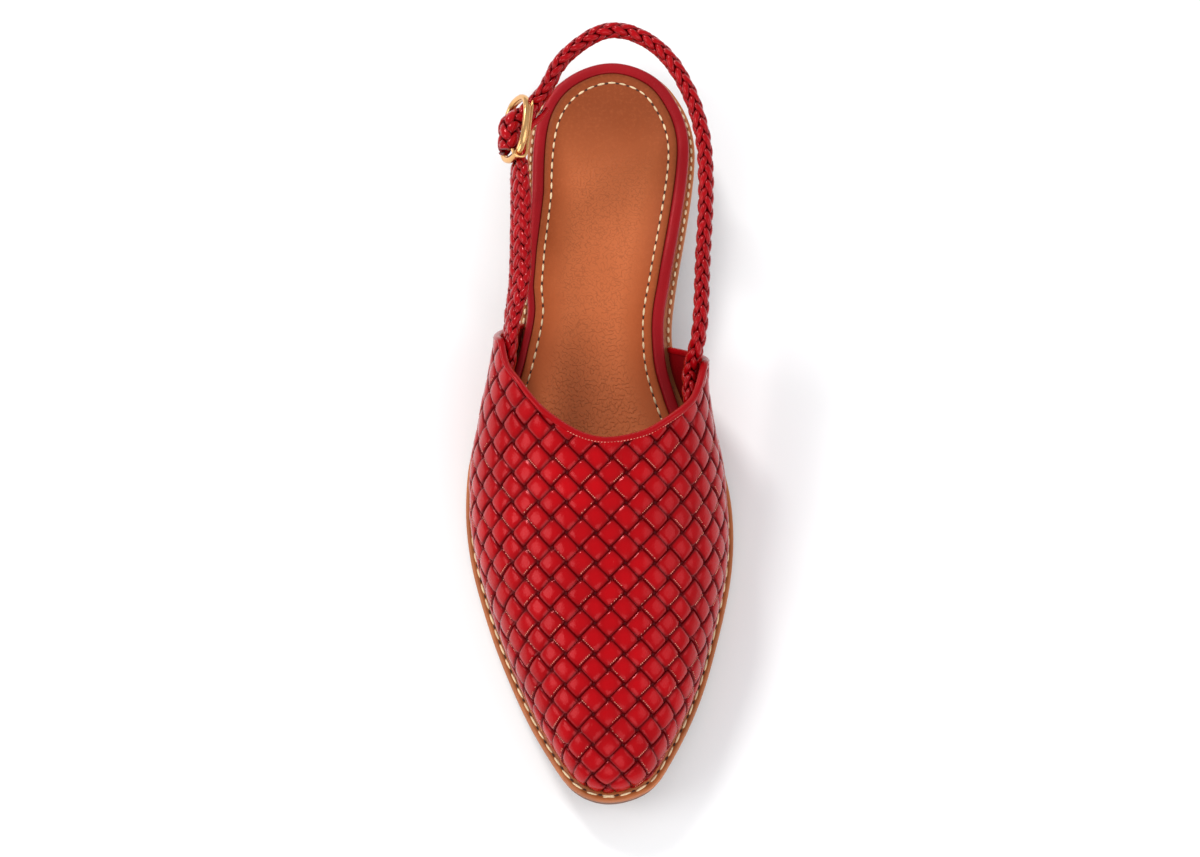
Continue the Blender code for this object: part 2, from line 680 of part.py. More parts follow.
class WeaveChart:
    """Points, edges and lifts of the woven face on the chart, in millimetres."""

    def __init__(self, loop, bound, lateral_back):
        count = len(loop)
        self.loop = loop
        self.points = [tuple(point) for point in loop]
        self.edges = [(i, (i + 1) % count) for i in range(count)]
        self.bound = [(i - lateral_back) % count for i in range(lateral_back + bound)]
        raised = set(self.bound)
        self.lifts = [BINDING_RELIEF if i in raised else 0.0 for i in range(count)]
        self.pitch = STRIP_DIAGONAL * MILLIMETRES
        self.margin = EDGE_MARGIN * self.pitch
        self.field = self.add_binding()
        self.crossings = {}
        self.add_weave()

    def add(self, spot, lift):
        """Add a point and return its number."""
        self.points.append(tuple(spot))
        self.lifts.append(lift)
        return len(self.points) - 1

    def add_binding(self):
        """Add the inner line of the bound edge and return the loop of the woven field."""
        loop, order = self.loop, self.bound
        count = len(loop)
        width = BINDING_WIDTH * MILLIMETRES
        line = [(order[0] - 1) % count]
        for before, here, after in zip(order, order[1:], order[2:]):
            step_in = unit(loop[here] - loop[before])
            step_out = unit(loop[after] - loop[here])
            turn = unit(step_in + step_out)
            reach = width / max(SHARPEST_MITRE, float(np.dot(turn, step_out)))
            offset = np.array([-turn[1], turn[0]]) * reach
            spot = loop[here] + offset
            if distance_inside(spot[None], loop)[0] < 0:
                spot = loop[here] - offset
            if distance_inside(spot[None], loop)[0] >= NARROWEST_BINDING * width:
                line.append(self.add(spot, BINDING_RELIEF))
        line.append((order[-1] + 1) % count)
        self.edges += list(zip(line, line[1:]))
        bound_line = np.array([self.points[i] for i in line])
        return np.vstack([bound_line, loop[order[-1] + 2:order[0] - 1]])

    def depth(self, spot):
        """Distance of a spot inside the woven field."""
        return distance_inside(np.atleast_2d(spot), self.field)

    def spot_of(self, row, col):
        """Spot of a crossing of the strips' edges."""
        along = WEAVE_START * MILLIMETRES + (row + 0.5 * (col % 2)) * self.pitch
        return np.array([along, col * self.pitch / 2])

    def crossing(self, row, col):
        """Number of a crossing inside the field, or None outside it."""
        if (row, col) not in self.crossings:
            spot = self.spot_of(row, col)
            inside = self.depth(spot)[0] > self.margin
            self.crossings[row, col] = self.add(spot, 0.0) if inside else None
        return self.crossings[row, col]

    def last_inside(self, inside, outside):
        """Last spot that is inside the field on the way from one spot to another."""
        low, high = 0.0, 1.0
        for _ in range(12):
            middle = (low + high) / 2
            if self.depth(inside + (outside - inside) * middle)[0] > self.margin:
                low = middle
            else:
                high = middle
        return inside + (outside - inside) * low

    def add_grooves(self, row, col):
        """Add the grooves from a crossing to its four neighbours."""
        here = self.crossing(row, col)
        if here is None:
            return
        start = self.spot_of(row, col)
        behind = row + col % 2
        for far_row, far_col in ((r, c) for c in (col - 1, col + 1) for r in (behind, behind - 1)):
            other = self.crossing(far_row, far_col)
            if other is None:
                spot = self.last_inside(start, self.spot_of(far_row, far_col))
                if np.linalg.norm(spot - start) > self.margin:
                    self.edges.append((here, self.add(spot, 0.0)))
            elif other > here:
                self.edges.append((here, other))

    def add_float(self, row, col):
        """Add the raised face of the strip between four crossings."""
        half = self.pitch / 2
        corners = self.spot_of(row, col) + np.array([(0, 0), (half, half), (2 * half, 0), (half, -half)])
        centre = corners.mean(axis=0)
        if (self.depth(corners) > self.margin).all():
            face = [self.add(centre + (spot - centre) * PILLOW_SHARE, STRIP_RELIEF) for spot in corners]
            self.edges += [(face[i], face[(i + 1) % 4]) for i in range(4)]
        elif self.depth(centre)[0] > 2 * self.margin:
            self.add(centre, STRIP_RELIEF)

    def add_weave(self):
        """Add the strips of the whole field."""
        rows = int(self.loop[:, 0].max() / self.pitch) + 2
        cols = int(np.abs(self.loop[:, 1]).max() / self.pitch * 2) + 2
        for row in range(-1, rows):
            for col in range(-cols, cols + 1):
                self.add_grooves(row, col)
                self.add_float(row, col)


def lining_chart(loop):
    """Points and edges of the plain inner face on the chart."""
    step = INNER_WALL_STEP * MILLIMETRES
    half = np.ceil(np.abs(loop[:, 1]).max() / step) * step
    ridges = np.arange(0, loop[:, 0].max(), step)
    along, around = np.meshgrid(ridges, np.arange(-half, half + step / 2, step))
    grid = np.c_[along.ravel(), around.ravel()]
    inner = grid[distance_inside(grid, loop) > LINING_MARGIN * step]
    edges = [(i, (i + 1) % len(loop)) for i in range(len(loop))]
    return [tuple(point) for point in np.vstack([loop, inner])], edges


def triangulate(points, edges):
    """Triangles over a chart whose boundary is closed by the edges."""
    spots = [Vector(point) for point in points]
    found, _, faces, source, _, _ = delaunay_2d_cdt(spots, edges, [], 1, 1e-5)
    origin = [min(ids) if ids else None for ids in source]
    return [tuple(spot) for spot in found], [tuple(face) for face in faces], origin


def build_upper(sole, material):
    """Hollow woven wall, open at the collar, the heel and underneath."""
    upper = Upper(sole)
    loop, bound, lateral_back = chart_boundary(upper)
    count = len(loop)
    weave = WeaveChart(loop, bound, lateral_back)
    outer, outer_faces, outer_origin = triangulate(weave.points, weave.edges)
    inner, inner_faces, inner_origin = triangulate(*lining_chart(loop))
    outer_lift = np.array([weave.lifts[i] if i is not None else 0.0 for i in outer_origin])
    chart = np.array(outer) / MILLIMETRES
    vertices = list(upper.place(chart[:, 0], chart[:, 1], outer_lift))
    chart = np.array(inner) / MILLIMETRES
    vertices += list(upper.place(chart[:, 0], chart[:, 1], np.full(len(chart), -WALL)))
    shift = len(outer)
    faces = list(outer_faces) + [tuple(shift + i for i in face[::-1]) for face in inner_faces]
    outer_at = {source: i for i, source in enumerate(outer_origin)}
    inner_at = {source: i + shift for i, source in enumerate(inner_origin)}
    for i in range(count):
        j = (i + 1) % count
        faces.append((outer_at[i], outer_at[j], inner_at[j], inner_at[i]))
    new_object("upper", vertices, faces, material, crease=60.0)
    return upper


def buckle_vector(back, up, out):
    """Vector from distances along the leaning and turned ring's own directions."""
    lean, turn = math.radians(BUCKLE_LEAN), math.radians(BUCKLE_TURN)
    inwards = up * math.sin(lean) - out * math.cos(lean)
    x = inwards * math.cos(turn) + back * math.sin(turn)
    y = back * math.cos(turn) - inwards * math.sin(turn)
    return np.array([x, y, up * math.cos(lean) + out * math.sin(lean)])


def buckle_point(back, up, out):
    """Point at distances from the middle of the ring."""
    across = BUCKLE_CENTRE.across * SOLE_WIDTH
    middle = (across, float(y_at(BUCKLE_CENTRE.along)), BUCKLE_CENTRE.rise * SLING_RISE)
    return np.array(middle) + buckle_vector(back, up, out)


def strap_route(upper, tucks, depth, route, passes):
    """Points of a strap from inside its quarter to the buckle."""
    ridge = upper.ridge_at(column(tucks, "along"))
    side = column(tucks, "side")
    points = list(upper.place(ridge, side * upper.girth_at(ridge, side), np.full(len(ridge), -depth)))
    for row in route:
        points.append((row.across * SOLE_WIDTH, float(y_at(row.along)), row.rise * SLING_RISE))
    for row in passes:
        back, up, out = row.back * BUCKLE_LENGTH, row.up * BUCKLE_HEIGHT, row.out * STRAP_THICKNESS
        points.append(buckle_point(back, up, out))
    return np.array(points)


def rounded(value, power):
    """Raise a cosine or sine to a power and keep its sign."""
    return math.copysign(abs(value) ** power, value)


def sweep(name, material, path, half_sizes, up, sides, relief, squareness=1.0):
    """Solid of a rounded section along a path, alternate points lowered as a braid."""
    tangent = unit(np.gradient(path, axis=0))
    across = unit(np.cross(tangent, up))
    rise = unit(np.cross(across, tangent))
    vertices, faces = [], []
    for i, (point, sizes) in enumerate(zip(path, half_sizes)):
        for j in range(sides):
            angle = 2 * math.pi * (j + 0.5) / sides
            low = relief if (i + j) % 2 else 0.0
            wide = (sizes[0] - low) * rounded(math.cos(angle), squareness)
            tall = (sizes[1] - low) * rounded(math.sin(angle), squareness)
            vertices.append(point + across[i] * wide + rise[i] * tall)
    for i in range(len(path) - 1):
        faces += bridge(i * sides, (i + 1) * sides, sides)
    for base in (0, (len(path) - 1) * sides):
        centre = len(vertices)
        vertices.append(np.mean(vertices[base:base + sides], axis=0))
        faces += [(centre, base + j, base + (j + 1) % sides) for j in range(sides)]
    return new_object(name, vertices, faces, material, crease=50.0)


def along_route(points, step):
    """Even points on a smooth curve through a route."""
    chords = np.linalg.norm(np.diff(points, axis=0), axis=1)
    knots = np.concatenate([[0], np.cumsum(np.sqrt(chords))])
    curve = spline(knots, points)
    fine = curve(np.linspace(0, knots[-1], ROUTE_COUNT))
    arc = np.concatenate([[0], np.cumsum(np.linalg.norm(np.diff(fine, axis=0), axis=1))])
    count = int(round(arc[-1] / step)) + 1
    even = np.linspace(0, arc[-1], count)
    return np.column_stack([np.interp(even, arc, fine[:, i]) for i in range(3)])


def build_sling(upper, material):
    """Braided strap from the medial quarter round the heel into the buckle."""
    depth = WALL + SLING_TUCK_GAP + STRAP_THICKNESS / 2
    path = along_route(strap_route(upper, SLING_TUCK, depth, SLING_ROUTE, SLING_PASS), BRAID_STEP)
    sizes = np.tile([STRAP_THICKNESS / 2, STRAP_HEIGHT / 2], (len(path), 1))
    sizes[0] *= STRAP_END_SHARE
    sizes[-1] *= STRAP_END_SHARE
    sweep("sling_strap", material, path, sizes, (0.0, 0.0, 1.0), SLING_SIDES, BRAID_RELIEF)


def build_tab(upper, material):
    """Braided band from the lateral quarter that narrows to a tongue behind the ring."""
    depth = WALL + TAB_TUCK_GAP + TAB_THICKNESS / 2
    path = along_route(strap_route(upper, TAB_TUCK, depth, TAB_ROUTE, TAB_PASS), BRAID_STEP)
    ring_front = float(y_at(BUCKLE_CENTRE.along)) - BUCKLE_LENGTH / 2
    narrow = ease((path[:, 1] - ring_front + TAB_NARROWING_START) / TAB_NARROWING_LENGTH)
    thick = TAB_THICKNESS + (TAB_TONGUE_THICKNESS - TAB_THICKNESS) * narrow
    tall = TAB_HEIGHT + (TAB_TONGUE_HEIGHT - TAB_HEIGHT) * narrow
    sizes = np.c_[thick, tall] / 2
    sizes[0] *= STRAP_END_SHARE
    sizes[-1] *= STRAP_END_SHARE
    lean = np.interp(share_along(path[:, 1]), column(TAB_LEAN, "along"), column(TAB_LEAN, "degrees"))
    lean = np.radians(lean)
    up = np.c_[np.sin(lean), np.zeros(len(path)), np.cos(lean)]
    relief = BRAID_RELIEF * TAB_BRAID_SHARE
    sweep("strap_tab", material, path, sizes, up, TAB_SIDES, relief, TAB_SQUARENESS)


def ring_spot(angle):
    """Distances back and up of the ring's stock at an angle."""
    back = (BUCKLE_LENGTH - BUCKLE_STOCK) / 2
    up = (BUCKLE_HEIGHT - BUCKLE_STOCK) / 2
    power = 2 / RING_FULLNESS
    return back * rounded(math.cos(angle), power), up * rounded(math.sin(angle), power)


def build_buckle(material):
    """Oval ring of round stock."""
    steps, sides = 32, 8
    turns = [2 * math.pi * (i + 0.5) / steps for i in range(steps)]
    centres = np.array([buckle_point(*ring_spot(turn), 0) for turn in turns])
    tangent = unit(np.roll(centres, -1, 0) - np.roll(centres, 1, 0))
    out = buckle_vector(0, 0, 1)
    side = unit(np.cross(tangent, out))
    vertices, faces = [], []
    for i in range(steps):
        for j in range(sides):
            angle = 2 * math.pi * j / sides
            offset = side[i] * math.cos(angle) + out * math.sin(angle)
            vertices.append(centres[i] + offset * BUCKLE_STOCK / 2)
    for i in range(steps):
        near, far = i * sides, (i + 1) % steps * sides
        faces += bridge(near, far, sides)
    new_object("buckle_frame", vertices, faces, material)


def build_prong(material):
    """Pin hooked round the front of the ring, its point behind the rear of the ring."""
    half_up = (BUCKLE_HEIGHT - BUCKLE_STOCK) / 2
    half_back = (BUCKLE_LENGTH - BUCKLE_STOCK) / 2
    stock_back = half_back * (1 - (PRONG_RISE / half_up) ** RING_FULLNESS) ** (1 / RING_FULLNESS)
    hook = (BUCKLE_STOCK + PRONG_STOCK) / 2 + PRONG_HOOK_GAP
    path = []
    for turn in np.radians(np.linspace(HOOK_START, HOOK_END, HOOK_STEPS)):
        path.append(buckle_point(-stock_back - hook * math.cos(turn), PRONG_RISE, -hook * math.sin(turn)))
    for i in range(1, PRONG_STEPS + 1):
        back = -stock_back + i / PRONG_STEPS * (2 * stock_back + FIT_GAP)
        path.append(buckle_point(back, PRONG_RISE, -hook))
    path = np.array(path)
    sizes = np.full((len(path), 2), PRONG_STOCK / 2)
    sizes[-1] *= PRONG_TIP_SHARE
    sweep("buckle_prong", material, path, sizes, buckle_vector(0, 1, 0), PRONG_SIDES, 0.0)


def clear_scene():
    """Remove every object of the scene."""
    for thing in list(bpy.data.objects):
        bpy.data.objects.remove(thing, do_unlink=True)


def main():
    """Build the shoe piece by piece."""
    clear_scene()
    red = new_material("red leather", (0.52, 0.012, 0.022), 0.35)
    dark_red = new_material("red rim leather", (0.42, 0.010, 0.018), 0.40)
    tan = new_material("tan insole leather", (0.46, 0.165, 0.065), 0.55)
    welt = new_material("tan welt leather", (0.40, 0.175, 0.080), 0.50)
    brown = new_material("brown sole leather", (0.24, 0.095, 0.045), 0.50)
    stack = new_material("stacked heel leather", (0.20, 0.085, 0.045), 0.50)
    gold = new_material("pale gold", (0.90, 0.68, 0.42), 0.22, 1.0)
    sole = Sole()
    build_heel(sole, stack)
    build_outsole(sole, brown)
    build_midsole(sole, welt)
    build_footbed(sole, dark_red)
    build_insole(sole, tan)
    upper = build_upper(sole, red)
    build_sling(upper, red)
    build_tab(upper, red)
    build_buckle(gold)
    build_prong(gold)


main()
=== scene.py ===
"""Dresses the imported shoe: woven upper, braided straps, buckle, welt, insole and heel.

The toe points along -Y, the heel along +Y and the medial side along +X, in metres.
"""

from __future__ import annotations

import logging
import math
from collections.abc import Callable, Sequence
from dataclasses import dataclass
from enum import Enum

import bmesh
import bpy
import numpy as np
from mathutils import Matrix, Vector
from mathutils.bvhtree import BVHTree
from mathutils.geometry import delaunay_2d_cdt

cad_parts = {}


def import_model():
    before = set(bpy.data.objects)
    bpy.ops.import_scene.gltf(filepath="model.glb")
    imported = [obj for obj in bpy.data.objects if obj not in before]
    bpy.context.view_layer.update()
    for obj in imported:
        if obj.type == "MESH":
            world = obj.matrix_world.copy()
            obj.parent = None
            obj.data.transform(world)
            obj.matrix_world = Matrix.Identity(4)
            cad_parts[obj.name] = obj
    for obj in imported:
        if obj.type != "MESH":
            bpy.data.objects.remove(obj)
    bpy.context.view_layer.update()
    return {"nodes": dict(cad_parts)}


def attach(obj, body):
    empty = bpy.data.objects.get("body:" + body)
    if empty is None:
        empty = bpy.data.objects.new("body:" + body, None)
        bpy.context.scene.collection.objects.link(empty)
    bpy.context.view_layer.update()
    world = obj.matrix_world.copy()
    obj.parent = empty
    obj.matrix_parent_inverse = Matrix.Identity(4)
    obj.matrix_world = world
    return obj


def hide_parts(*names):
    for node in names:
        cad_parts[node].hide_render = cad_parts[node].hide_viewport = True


LOG = logging.getLogger("shoe")
BODY = "root"
MM = 0.001

Colour = tuple[float, float, float]
Pairs = tuple[tuple[float, float], ...]
Triples = tuple[tuple[float, float, float], ...]
Faces = list[tuple[int, ...]]
Array = np.ndarray
Object = bpy.types.Object
Material = bpy.types.Material
Node = bpy.types.Node
Socket = bpy.types.NodeSocket
# the shader's inputs by name, and a height, a strength and a depth in metres for each bump
Looks = tuple[dict[str, object], Sequence[tuple[Socket, float, float]]]


class Slot(Enum):
    """Material slots, by name."""

    UPPER = "upper_leather"
    RIM = "rim_leather"
    INSOLE = "insole_leather"
    WELT = "welt_leather"
    SOLE = "sole_leather"
    HEEL = "heel_stack"
    METAL = "buckle_metal"


class Side(Enum):
    """Sides of the shoe, as the sign of the girth."""

    LATERAL = -1
    MEDIAL = 1


# ---------------------------------------------------------------- plain maths


def unit(vectors: Array) -> Array:
    """Return vectors scaled to length one."""
    return vectors / np.maximum(np.linalg.norm(vectors, axis=-1, keepdims=True), 1e-12)


def ease(share: Array | float) -> Array:
    """Return a smooth step from 0 to 1 for a share."""
    share = np.clip(share, 0.0, 1.0)
    return share * share * (3 - 2 * share)


def spline(knots: Sequence[float], values: Sequence) -> Callable[[Array], Array]:
    """Make a natural cubic curve.

    Args:
        knots: rising parameter values.
        values: one row of values for each knot.

    Returns:
        A function of the parameter.
    """
    knots = np.asarray(knots, float)
    values = np.asarray(values, float)
    gaps = np.diff(knots)
    matrix = np.eye(len(knots))
    right = np.zeros(values.shape)
    for i in range(1, len(knots) - 1):
        matrix[i, i - 1:i + 2] = gaps[i - 1], 2 * (gaps[i - 1] + gaps[i]), gaps[i]
        slope_out = (values[i + 1] - values[i]) / gaps[i]
        slope_in = (values[i] - values[i - 1]) / gaps[i - 1]
        right[i] = 6 * (slope_out - slope_in)
    bend = np.linalg.solve(matrix, right)

    def curve(at: Array) -> Array:
        """Return the curve's values at the parameters."""
        at = np.clip(np.asarray(at, float), knots[0], knots[-1])
        i = np.clip(np.searchsorted(knots, at) - 1, 0, len(knots) - 2)
        gap = gaps[i]
        low = (knots[i + 1] - at) / gap
        high = (at - knots[i]) / gap
        if values.ndim > 1:
            gap, low, high = gap[..., None], low[..., None], high[..., None]
        sag = ((low ** 3 - low) * bend[i] + (high ** 3 - high) * bend[i + 1]) * gap ** 2 / 6
        return low * values[i] + high * values[i + 1] + sag

    return curve


def arc_along(points: Array) -> Array:
    """Return the distance of each point along a polyline."""
    return np.concatenate([[0], np.cumsum(np.linalg.norm(np.diff(points, axis=0), axis=1))])


def looked_up(rows: Sequence, at: Array, column: int) -> Array:
    """Return a column of a table, read between its rows at values of its first column."""
    table = np.array(rows)
    return np.interp(at, table[:, 0], table[:, column])


def bulged(shares: Array, power: float) -> Array:
    """Return shares raised to a power with their signs kept."""
    return np.sign(shares) * np.abs(shares) ** power


def circle(count: int) -> Array:
    """Return points on a circle of radius one."""
    turns = np.linspace(0, 2 * math.pi, count + 1)[:-1]
    return np.c_[np.cos(turns), np.sin(turns)]


def swept(path: Array, across: Array, up: Array, sizes: Array, shares: Array) -> Array:
    """Return the rings of a section along a path.

    Args:
        path: points of the path.
        across: direction across at each point, or one for all.
        up: direction upwards, likewise.
        sizes: half size in both directions at each point.
        shares: the section's points as shares of the half sizes.

    Returns:
        Rings by points by three.
    """
    rings = [path + across * (sizes[:, :1] * x) + up * (sizes[:, 1:] * y) for x, y in shares]
    return np.stack(rings, 1)


def upwards(count: int) -> Array:
    """Return as many vectors that point up."""
    return np.tile([0.0, 0.0, 1.0], (count, 1))


def even_points(points: Array, step: float, closed: bool = False) -> Array:
    """Resample a polyline evenly.

    Args:
        points: the polyline.
        step: rough distance between the new points.
        closed: True where the last point joins the first.

    Returns:
        The new points, without the repeated last one on a closed line.
    """
    if closed:
        points = np.vstack([points, points[:1]])
    arc = arc_along(points)
    count = max(3, int(round(arc[-1] / step)))
    at = np.linspace(0, arc[-1], count + 1)
    even = np.column_stack([np.interp(at, arc, points[:, i]) for i in range(points.shape[1])])
    return even[:-1] if closed else even


def smooth_route(points: Array, step: float) -> Array:
    """Return even points on a smooth curve through a route."""
    chords = np.linalg.norm(np.diff(points, axis=0), axis=1)
    knots = np.concatenate([[0], np.cumsum(np.sqrt(chords))])
    return even_points(spline(knots, points)(np.linspace(0, knots[-1], 1500)), step)


def distance_inside(points: Array, loop: Array) -> Array:
    """Return the signed distance of points to a closed loop, positive inside."""
    spots, inside = nearest_on_loop(points, loop)
    gap = np.linalg.norm(points - spots, axis=1)
    return np.where(inside, gap, -gap)


def nearest_on_loop(points: Array, loop: Array) -> tuple[Array, Array]:
    """Find the nearest spots of a closed loop.

    Args:
        points: flat points.
        loop: flat loop.

    Returns:
        The nearest spot for each point, and whether the point is inside.
    """
    start, step = loop, np.roll(loop, -1, 0) - loop
    spots = np.zeros(points.shape)
    inside = np.zeros(len(points), bool)
    for first in range(0, len(points), 4000):
        part = points[first:first + 4000]
        relative = part[:, None] - start[None]
        share = np.clip((relative * step).sum(-1) / np.maximum((step ** 2).sum(-1), 1e-18), 0, 1)
        found = start[None] + share[..., None] * step
        best = np.linalg.norm(part[:, None] - found, axis=-1).argmin(1)
        spots[first:first + 4000] = found[np.arange(len(part)), best]
        crosses = (start[:, 1] > part[:, 1:2]) != (start[:, 1] + step[:, 1] > part[:, 1:2])
        rise = np.where(step[:, 1] == 0, 1e-12, step[:, 1])
        reach = start[:, 0] + (part[:, 1:2] - start[:, 1]) * step[:, 0] / rise
        inside[first:first + 4000] = (crosses & (part[:, :1] < reach)).sum(1) % 2 == 1
    return spots, inside


# ---------------------------------------------------------------- mesh helpers


def bridge(first: int, second: int, count: int) -> Faces:
    """Return the quads between two loops of the same count."""
    steps = [(i, (i + 1) % count) for i in range(count)]
    return [(first + i, first + j, second + j, second + i) for i, j in steps]


def tube(rings: Array, closed: bool = False) -> tuple[Array, Faces]:
    """Join rings of points into a tube.

    Args:
        rings: rings by points by three.
        closed: True where the last ring joins the first; otherwise the ends are capped.

    Returns:
        The points and the faces.
    """
    rows, count = rings.shape[:2]
    points = rings.reshape(-1, 3)
    faces: Faces = []
    for row in range(rows if closed else rows - 1):
        faces += bridge(row * count, (row + 1) % rows * count, count)
    if not closed:
        ends = [rings[0].mean(0), rings[-1].mean(0)]
        for base, centre in ((0, len(points)), ((rows - 1) * count, len(points) + 1)):
            faces += [(centre, base + j, base + (j + 1) % count) for j in range(count)]
        points = np.vstack([points, ends])
    return points, faces


def linked(name: str, data: bpy.types.ID) -> Object:
    """Return a named object at the origin that holds the data."""
    thing = bpy.data.objects.new(name, data)
    bpy.context.scene.collection.objects.link(thing)
    return thing


def new_object(name: str, points: Sequence, faces: Sequence, crease: float = 50.0) -> Object:
    """Make one named piece with its faces pointing outwards.

    Args:
        name: name of the piece.
        points: its points.
        faces: its faces.
        crease: angle in degrees past which an edge is drawn sharp.

    Returns:
        The new object at the origin.
    """
    mesh = bpy.data.meshes.new(name)
    corners = [tuple(map(int, face)) for face in faces]
    mesh.from_pydata([tuple(map(float, point)) for point in points], [], corners)
    shape = bmesh.new()
    shape.from_mesh(mesh)
    bmesh.ops.recalc_face_normals(shape, faces=shape.faces)
    shape.to_mesh(mesh)
    shape.free()
    mesh.shade_smooth()
    mesh.set_sharp_from_angle(angle=math.radians(crease))
    return linked(name, mesh)


def set_attribute(mesh: bpy.types.Mesh, name: str, values: Array) -> None:
    """Store one number or one vector for each point of a mesh."""
    values = np.asarray(values, float)
    kind, key = ("FLOAT_VECTOR", "vector") if values.ndim > 1 else ("FLOAT", "value")
    mesh.attributes.new(name, kind, "POINT").data.foreach_set(key, values.ravel())


def get_points(mesh: bpy.types.Mesh) -> Array:
    """Return the points of a mesh."""
    points = np.zeros(len(mesh.vertices) * 3)
    mesh.vertices.foreach_get("co", points)
    return points.reshape(-1, 3)


def place(piece: Object, material: Material, slot: Slot, *nodes: str) -> None:
    """Dress a piece and tie it to the frame.

    Args:
        piece: the finished piece.
        material: its material.
        slot: not used.
        nodes: CAD nodes that it stands for.
    """
    piece.data.materials.clear()
    piece.data.materials.append(material)
    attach(piece, BODY)
    if nodes:
        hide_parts(*nodes)
    LOG.info("%s: %d faces", piece.name, len(piece.data.polygons))


# ---------------------------------------------------------------- node trees


class NodeKit:
    """Adds and links the nodes of one tree."""

    def __init__(self, tree: bpy.types.NodeTree) -> None:
        """Take the tree to work on."""
        self.tree = tree

    def add(self, kind: str, inputs: dict | None = None, **settings) -> Node:
        """Add one node.

        Args:
            kind: the node's type.
            inputs: a value or a socket for each input, by name or number.
            settings: the node's own properties.

        Returns:
            The node.
        """
        node = self.tree.nodes.new(kind)
        for name, value in settings.items():
            setattr(node, name, value)
        for key, value in (inputs or {}).items():
            self.feed(node.inputs[key], value)
        return node

    def feed(self, target: Socket, value: object) -> None:
        """Link a socket to an input, or set the input to a plain value."""
        if isinstance(value, Socket):
            self.tree.links.new(value, target)
        else:
            target.default_value = value

    def maths(self, operation: str, first: object, second: object = 0.0) -> Socket:
        """Return the result of a maths node."""
        return self.add("ShaderNodeMath", {0: first, 1: second}, operation=operation).outputs[0]

    def times(self, first: object, second: object) -> Socket:
        """Return the product of two values."""
        return self.maths("MULTIPLY", first, second)

    def vector(self, kind: str, first: object, second: object, at: int = 1) -> Socket:
        """Return the result of a vector maths node, its second input at a number."""
        return self.add("ShaderNodeVectorMath", {0: first, at: second}, operation=kind).outputs[0]

    def xyz(self, x: object = 0.0, y: object = 0.0, z: object = 0.0) -> Socket:
        """Return a vector of three values."""
        return self.add("ShaderNodeCombineXYZ", {0: x, 1: y, 2: z}).outputs[0]

    def ramp(
        self, value: Socket, low: float, high: float, start: float = 0.0, end: float = 1.0
    ) -> Socket:
        """Return a value mapped from one range to another, held at both ends."""
        inputs = {"Value": value, "From Min": low, "From Max": high, "To Min": start, "To Max": end}
        return self.add("ShaderNodeMapRange", inputs).outputs["Result"]

    def mix(self, share: object, first: object, second: object, mode: str = "MIX") -> Socket:
        """Return a mix of two colours."""
        inputs = {0: share, 6: first, 7: second}
        return self.add("ShaderNodeMix", inputs, data_type="RGBA", blend_type=mode).outputs[2]

    def noise(self, where: Socket, scale: float, detail: float, rough: float = 0.5) -> Socket:
        """Return a noise value."""
        inputs = {"Vector": where, "Scale": scale, "Detail": detail, "Roughness": rough}
        return self.add("ShaderNodeTexNoise", inputs).outputs["Fac"]

    def cells(self, where: Socket, scale: float, feature: str = "F1") -> Socket:
        """Return the distance of a cell pattern."""
        inputs = {"Vector": where, "Scale": scale}
        return self.add("ShaderNodeTexVoronoi", inputs, feature=feature).outputs["Distance"]

    def attribute(self, name: str) -> Socket:
        """Return an attribute of the mesh in a material."""
        return self.add("ShaderNodeAttribute", attribute_name=name).outputs["Fac"]

    def stretched(
        self, where: Socket, scale: Sequence[float], turn: Sequence[float] = (0, 0, 0)
    ) -> Socket:
        """Return coordinates stretched and turned."""
        inputs = {"Vector": where, "Scale": scale, "Rotation": turn}
        return self.add("ShaderNodeMapping", inputs).outputs[0]


def rgba(colour: Colour, gain: float = 1.0) -> tuple[float, float, float, float]:
    """Return a colour with its strength changed and full alpha."""
    return (colour[0] * gain, colour[1] * gain, colour[2] * gain, 1.0)


@dataclass(frozen=True)
class Finish:
    """A surface finish: its name, colour and roughness."""

    name: str
    colour: Colour
    roughness: float = 0.4

    def tint(self, gain: float) -> tuple[float, float, float, float]:
        """Return the finish's colour with its strength changed."""
        return rgba(self.colour, gain)

    def gloss(self, kit: NodeKit, value: Socket, less: float, more: float) -> Socket:
        """Return a roughness that varies with a value round the finish's own."""
        return kit.ramp(value, 0.3, 0.7, self.roughness - less, self.roughness + more)

    def looks(self, kit: NodeKit, where: Socket) -> Looks:
        """Return the looks, which every finish draws in its own way."""
        raise NotImplementedError(self.name)

    def make(self) -> Material:
        """Return the material, its looks drawn from the object coordinates."""
        material = bpy.data.materials.new(self.name)
        material.use_nodes = True
        material.diffuse_color = rgba(self.colour)
        kit = NodeKit(material.node_tree)
        inputs, bumps = self.looks(kit, kit.add("ShaderNodeTexCoord").outputs["Object"])
        for height, strength, depth in bumps:
            bump = {"Height": height, "Strength": strength, "Distance": depth}
            if "Normal" in inputs:
                bump["Normal"] = inputs["Normal"]
            inputs["Normal"] = kit.add("ShaderNodeBump", bump).outputs[0]
        shader = material.node_tree.nodes["Principled BSDF"]
        for name, value in inputs.items():
            kit.feed(shader.inputs[name], value)
        return material


